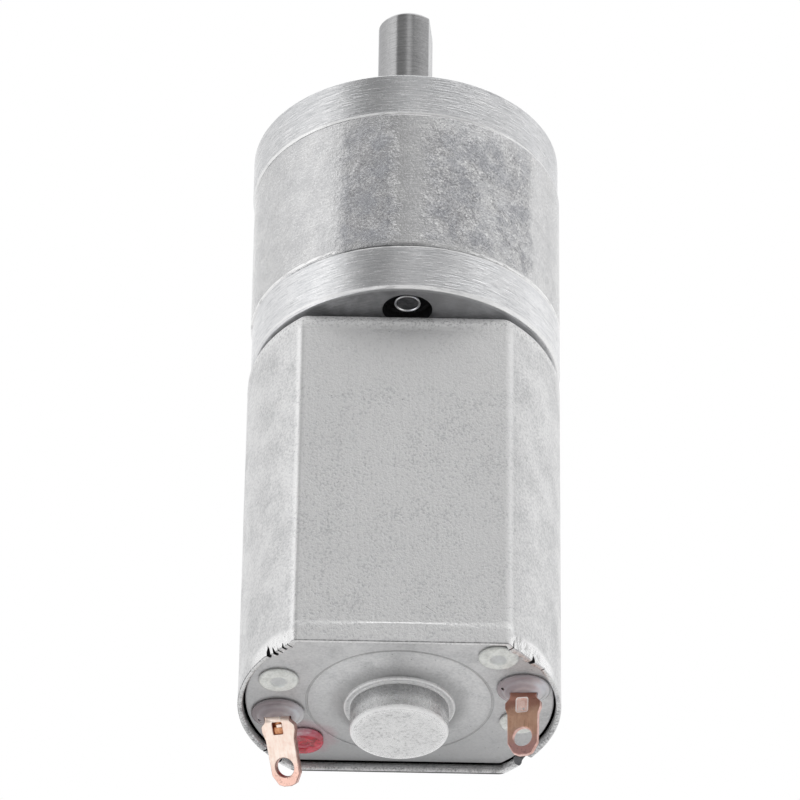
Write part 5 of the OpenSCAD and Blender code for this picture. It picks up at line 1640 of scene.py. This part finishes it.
make_front_cap()
make_output_bush()
make_ring_gear()
make_rear_plate()
make_gearbox_screws()
make_output_shaft()
make_clip()
make_can()
make_end_plate()
make_brush_holder()
make_mark()
make_terminal("terminal_left_v", "terminal_left", TERM_L, [M["copper_l"], M["copper_edge_l"], M["copper_floor"]])
make_terminal("terminal_right_v", "terminal_right", TERM_R, [M["copper_r"], M["copper_edge_r"], M["copper_frame"], M["copper_glint"]])


# ---------------------------------------------------------------- camera
def make_camera():
    cam = bpy.data.cameras.new("camera")
    ob = bpy.data.objects.new("camera", cam)
    bpy.context.scene.collection.objects.link(ob)
    f, dist, e, az, roll, tx, tz = 6074.95, 390.342, 0.615674, 0.0075005, 0.0139111, -0.227587, -18.7603
    fwd = np.array([math.sin(az) * math.cos(e), math.cos(az) * math.cos(e), math.sin(e)])
    right = np.array([math.cos(az), -math.sin(az), 0.0])
    up = np.cross(right, fwd)
    r2 = math.cos(roll) * right + math.sin(roll) * up
    u2 = -math.sin(roll) * right + math.cos(roll) * up
    c = np.array([0, 0, tz]) + tx * r2 - dist * fwd
    m = Matrix(((r2[0], u2[0], -fwd[0], c[0] / 1000), (r2[1], u2[1], -fwd[1], c[1] / 1000),
                (r2[2], u2[2], -fwd[2], c[2] / 1000), (0, 0, 0, 1)))
    ob.matrix_world = m
    cam.sensor_fit = "HORIZONTAL"
    cam.sensor_width = 36.0
    cam.lens = f / 800 * 36.0
    cam.clip_start, cam.clip_end = 0.01, 50
    bpy.context.scene.camera = ob
    return ob


make_camera()


# ---------------------------------------------------------------- studio
def make_studio():
    sc = bpy.context.scene
    sc.view_settings.view_transform = "Standard"
    sc.view_settings.look = "None"
    # floor: one large pale sheet, well below the motor
    bm = bmesh.new()
    n = 24
    size = 9.0
    grid = [[bm.verts.new(((i / n - 0.5) * size, (j / n - 0.5) * size, -0.62)) for j in range(n + 1)] for i in range(n + 1)]
    for i in range(n):
        for j in range(n):
            bm.faces.new((grid[i][j], grid[i + 1][j], grid[i + 1][j + 1], grid[i][j + 1]))
    me = bpy.data.meshes.new("floor")
    bm.to_mesh(me)
    bm.free()
    floor = bpy.data.objects.new("floor", me)
    sc.collection.objects.link(floor)
    m = Mat("floor")
    c = m.noise(m.p, 0.02, 3, 0.6)
    m.set(Base_Color=m.ramp(c, [(0.3, (0.80, 0.80, 0.80)), (0.7, (0.84, 0.84, 0.84))]), Roughness=0.9)
    me.materials.append(m.m)
    floor.visible_glossy = False

    # soft studio surroundings: large pale panels with dark flags in front, by direction
    w = bpy.data.worlds.new("studio")
    sc.world = w
    w.use_nodes = True
    t = w.node_tree
    t.nodes.clear()
    out = t.nodes.new("ShaderNodeOutputWorld")
    bg = t.nodes.new("ShaderNodeBackground")
    tc = t.nodes.new("ShaderNodeTexCoord")

    def mth(op, a, b=0.0, clamp=False):
        nd = t.nodes.new("ShaderNodeMath")
        nd.operation, nd.use_clamp = op, clamp
        for i, v in enumerate((a, b)):
            if isinstance(v, bpy.types.NodeSocket):
                t.links.new(v, nd.inputs[i])
            else:
                nd.inputs[i].default_value = v
        return nd.outputs[0]

    def mrange(v, a, b, c, d):
        nd = t.nodes.new("ShaderNodeMapRange")
        nd.interpolation_type = "SMOOTHSTEP"
        for i, x in enumerate((v, a, b, c, d)):
            if isinstance(x, bpy.types.NodeSocket):
                t.links.new(x, nd.inputs[i])
            else:
                nd.inputs[i].default_value = x
        return nd.outputs[0]

    nrm = t.nodes.new("ShaderNodeVectorMath")
    nrm.operation = "NORMALIZE"
    t.links.new(tc.outputs["Generated"], nrm.inputs[0])
    sep = t.nodes.new("ShaderNodeSeparateXYZ")
    t.links.new(nrm.outputs[0], sep.inputs[0])
    az = mth("ARCTAN2", sep.outputs[0], mth("MULTIPLY", sep.outputs[1], -1.0))
    pos = mth("MULTIPLY_ADD", az, 1 / TAU)
    pos.node.inputs[2].default_value = 0.5
    up = sep.outputs[2]

    def by_azimuth(stops):
        ramp = t.nodes.new("ShaderNodeValToRGB")
        els = ramp.color_ramp.elements
        while len(els) > 1:
            els.remove(els[-1])
        for i, (deg, v) in enumerate(stops):
            e = els[0] if i == 0 else els.new(deg / 360 + 0.5)
            e.position = deg / 360 + 0.5
            e.color = (v / 2, v / 2, v / 2, 1)
        t.links.new(pos, ramp.inputs[0])
        return mth("MULTIPLY", ramp.outputs["Color"], 2.0)

    def lerp(a, b, w):
        return mth("ADD", a, mth("MULTIPLY", mth("SUBTRACT", b, a), w))

    # one brighter panel low on the left
    panel = mth("MULTIPLY", by_azimuth([(-180, 0.0), (-100, 0.0), (-72, 0.22), (-56, 0.22), (-38, 0.0), (180, 0.0)]), mrange(up, -0.60, -0.45, 1.0, 0.0))
    lower = mth("ADD", by_azimuth(ENV_LOWER), panel)
    upper = by_azimuth(ENV_UPPER)
    brink = by_azimuth(ENV_BRINK)
    nadir = mrange(sep.outputs[1], -0.15, 0.60, *ENV_NADIR)
    val = lerp(nadir, lower, mrange(up, -0.866, -0.766, 0.0, 1.0))
    val = lerp(val, upper, mrange(up, -0.342, 0.208, 0.0, 1.0))
    val = lerp(val, ENV_TOP, mrange(up, mth("SUBTRACT", brink, 0.05), mth("ADD", brink, 0.05), 0.0, 1.0))
    lp = t.nodes.new("ShaderNodeLightPath")
    mixn = t.nodes.new("ShaderNodeMix")
    mixn.data_type = "FLOAT"
    t.links.new(lp.outputs["Is Camera Ray"], mixn.inputs[0])
    t.links.new(val, mixn.inputs[2])
    mixn.inputs[3].default_value = 1.0
    bg.inputs["Color"].default_value = (1.0, 1.0, 1.0, 1)
    t.links.new(mixn.outputs[0], bg.inputs["Strength"])
    t.links.new(bg.outputs[0], out.inputs[0])


ENV_NADIR, ENV_TOP = (0.20, 0.66), 1.30
ENV_UPPER = [(-180, 1.22), (-166, 1.10), (-150, 0.88), (-120, 0.81), (-104, 0.80), (-92, 0.85), (-60, 0.96), (-50, 0.92), (-43, 0.27), (-30, 0.27), (-18, 0.29), (-9, 0.36),
             (-4, 0.55), (2, 0.65), (8, 0.59), (14, 0.42), (20, 0.35), (30, 0.36), (43, 0.42), (50, 0.48), (62, 0.55), (90, 0.63), (98, 0.88), (112, 0.97),
             (125, 0.91), (150, 0.88), (166, 1.10), (180, 1.22)]
ENV_LOWER = [(-180, 0.68), (-130, 0.78), (-90, 0.96), (-64, 1.06), (-48, 0.90), (-35, 0.45), (-15, 0.30), (0, 0.28), (15, 0.30), (35, 0.45),
             (50, 0.80), (75, 0.95), (110, 0.85), (140, 0.76), (180, 0.68)]
ENV_BRINK = [(-180, 0.72), (-60, 0.72), (-44, 0.90), (0, 0.90), (14, 0.78), (25, 0.68), (100, 0.68), (110, 0.72), (180, 0.72)]
make_studio()
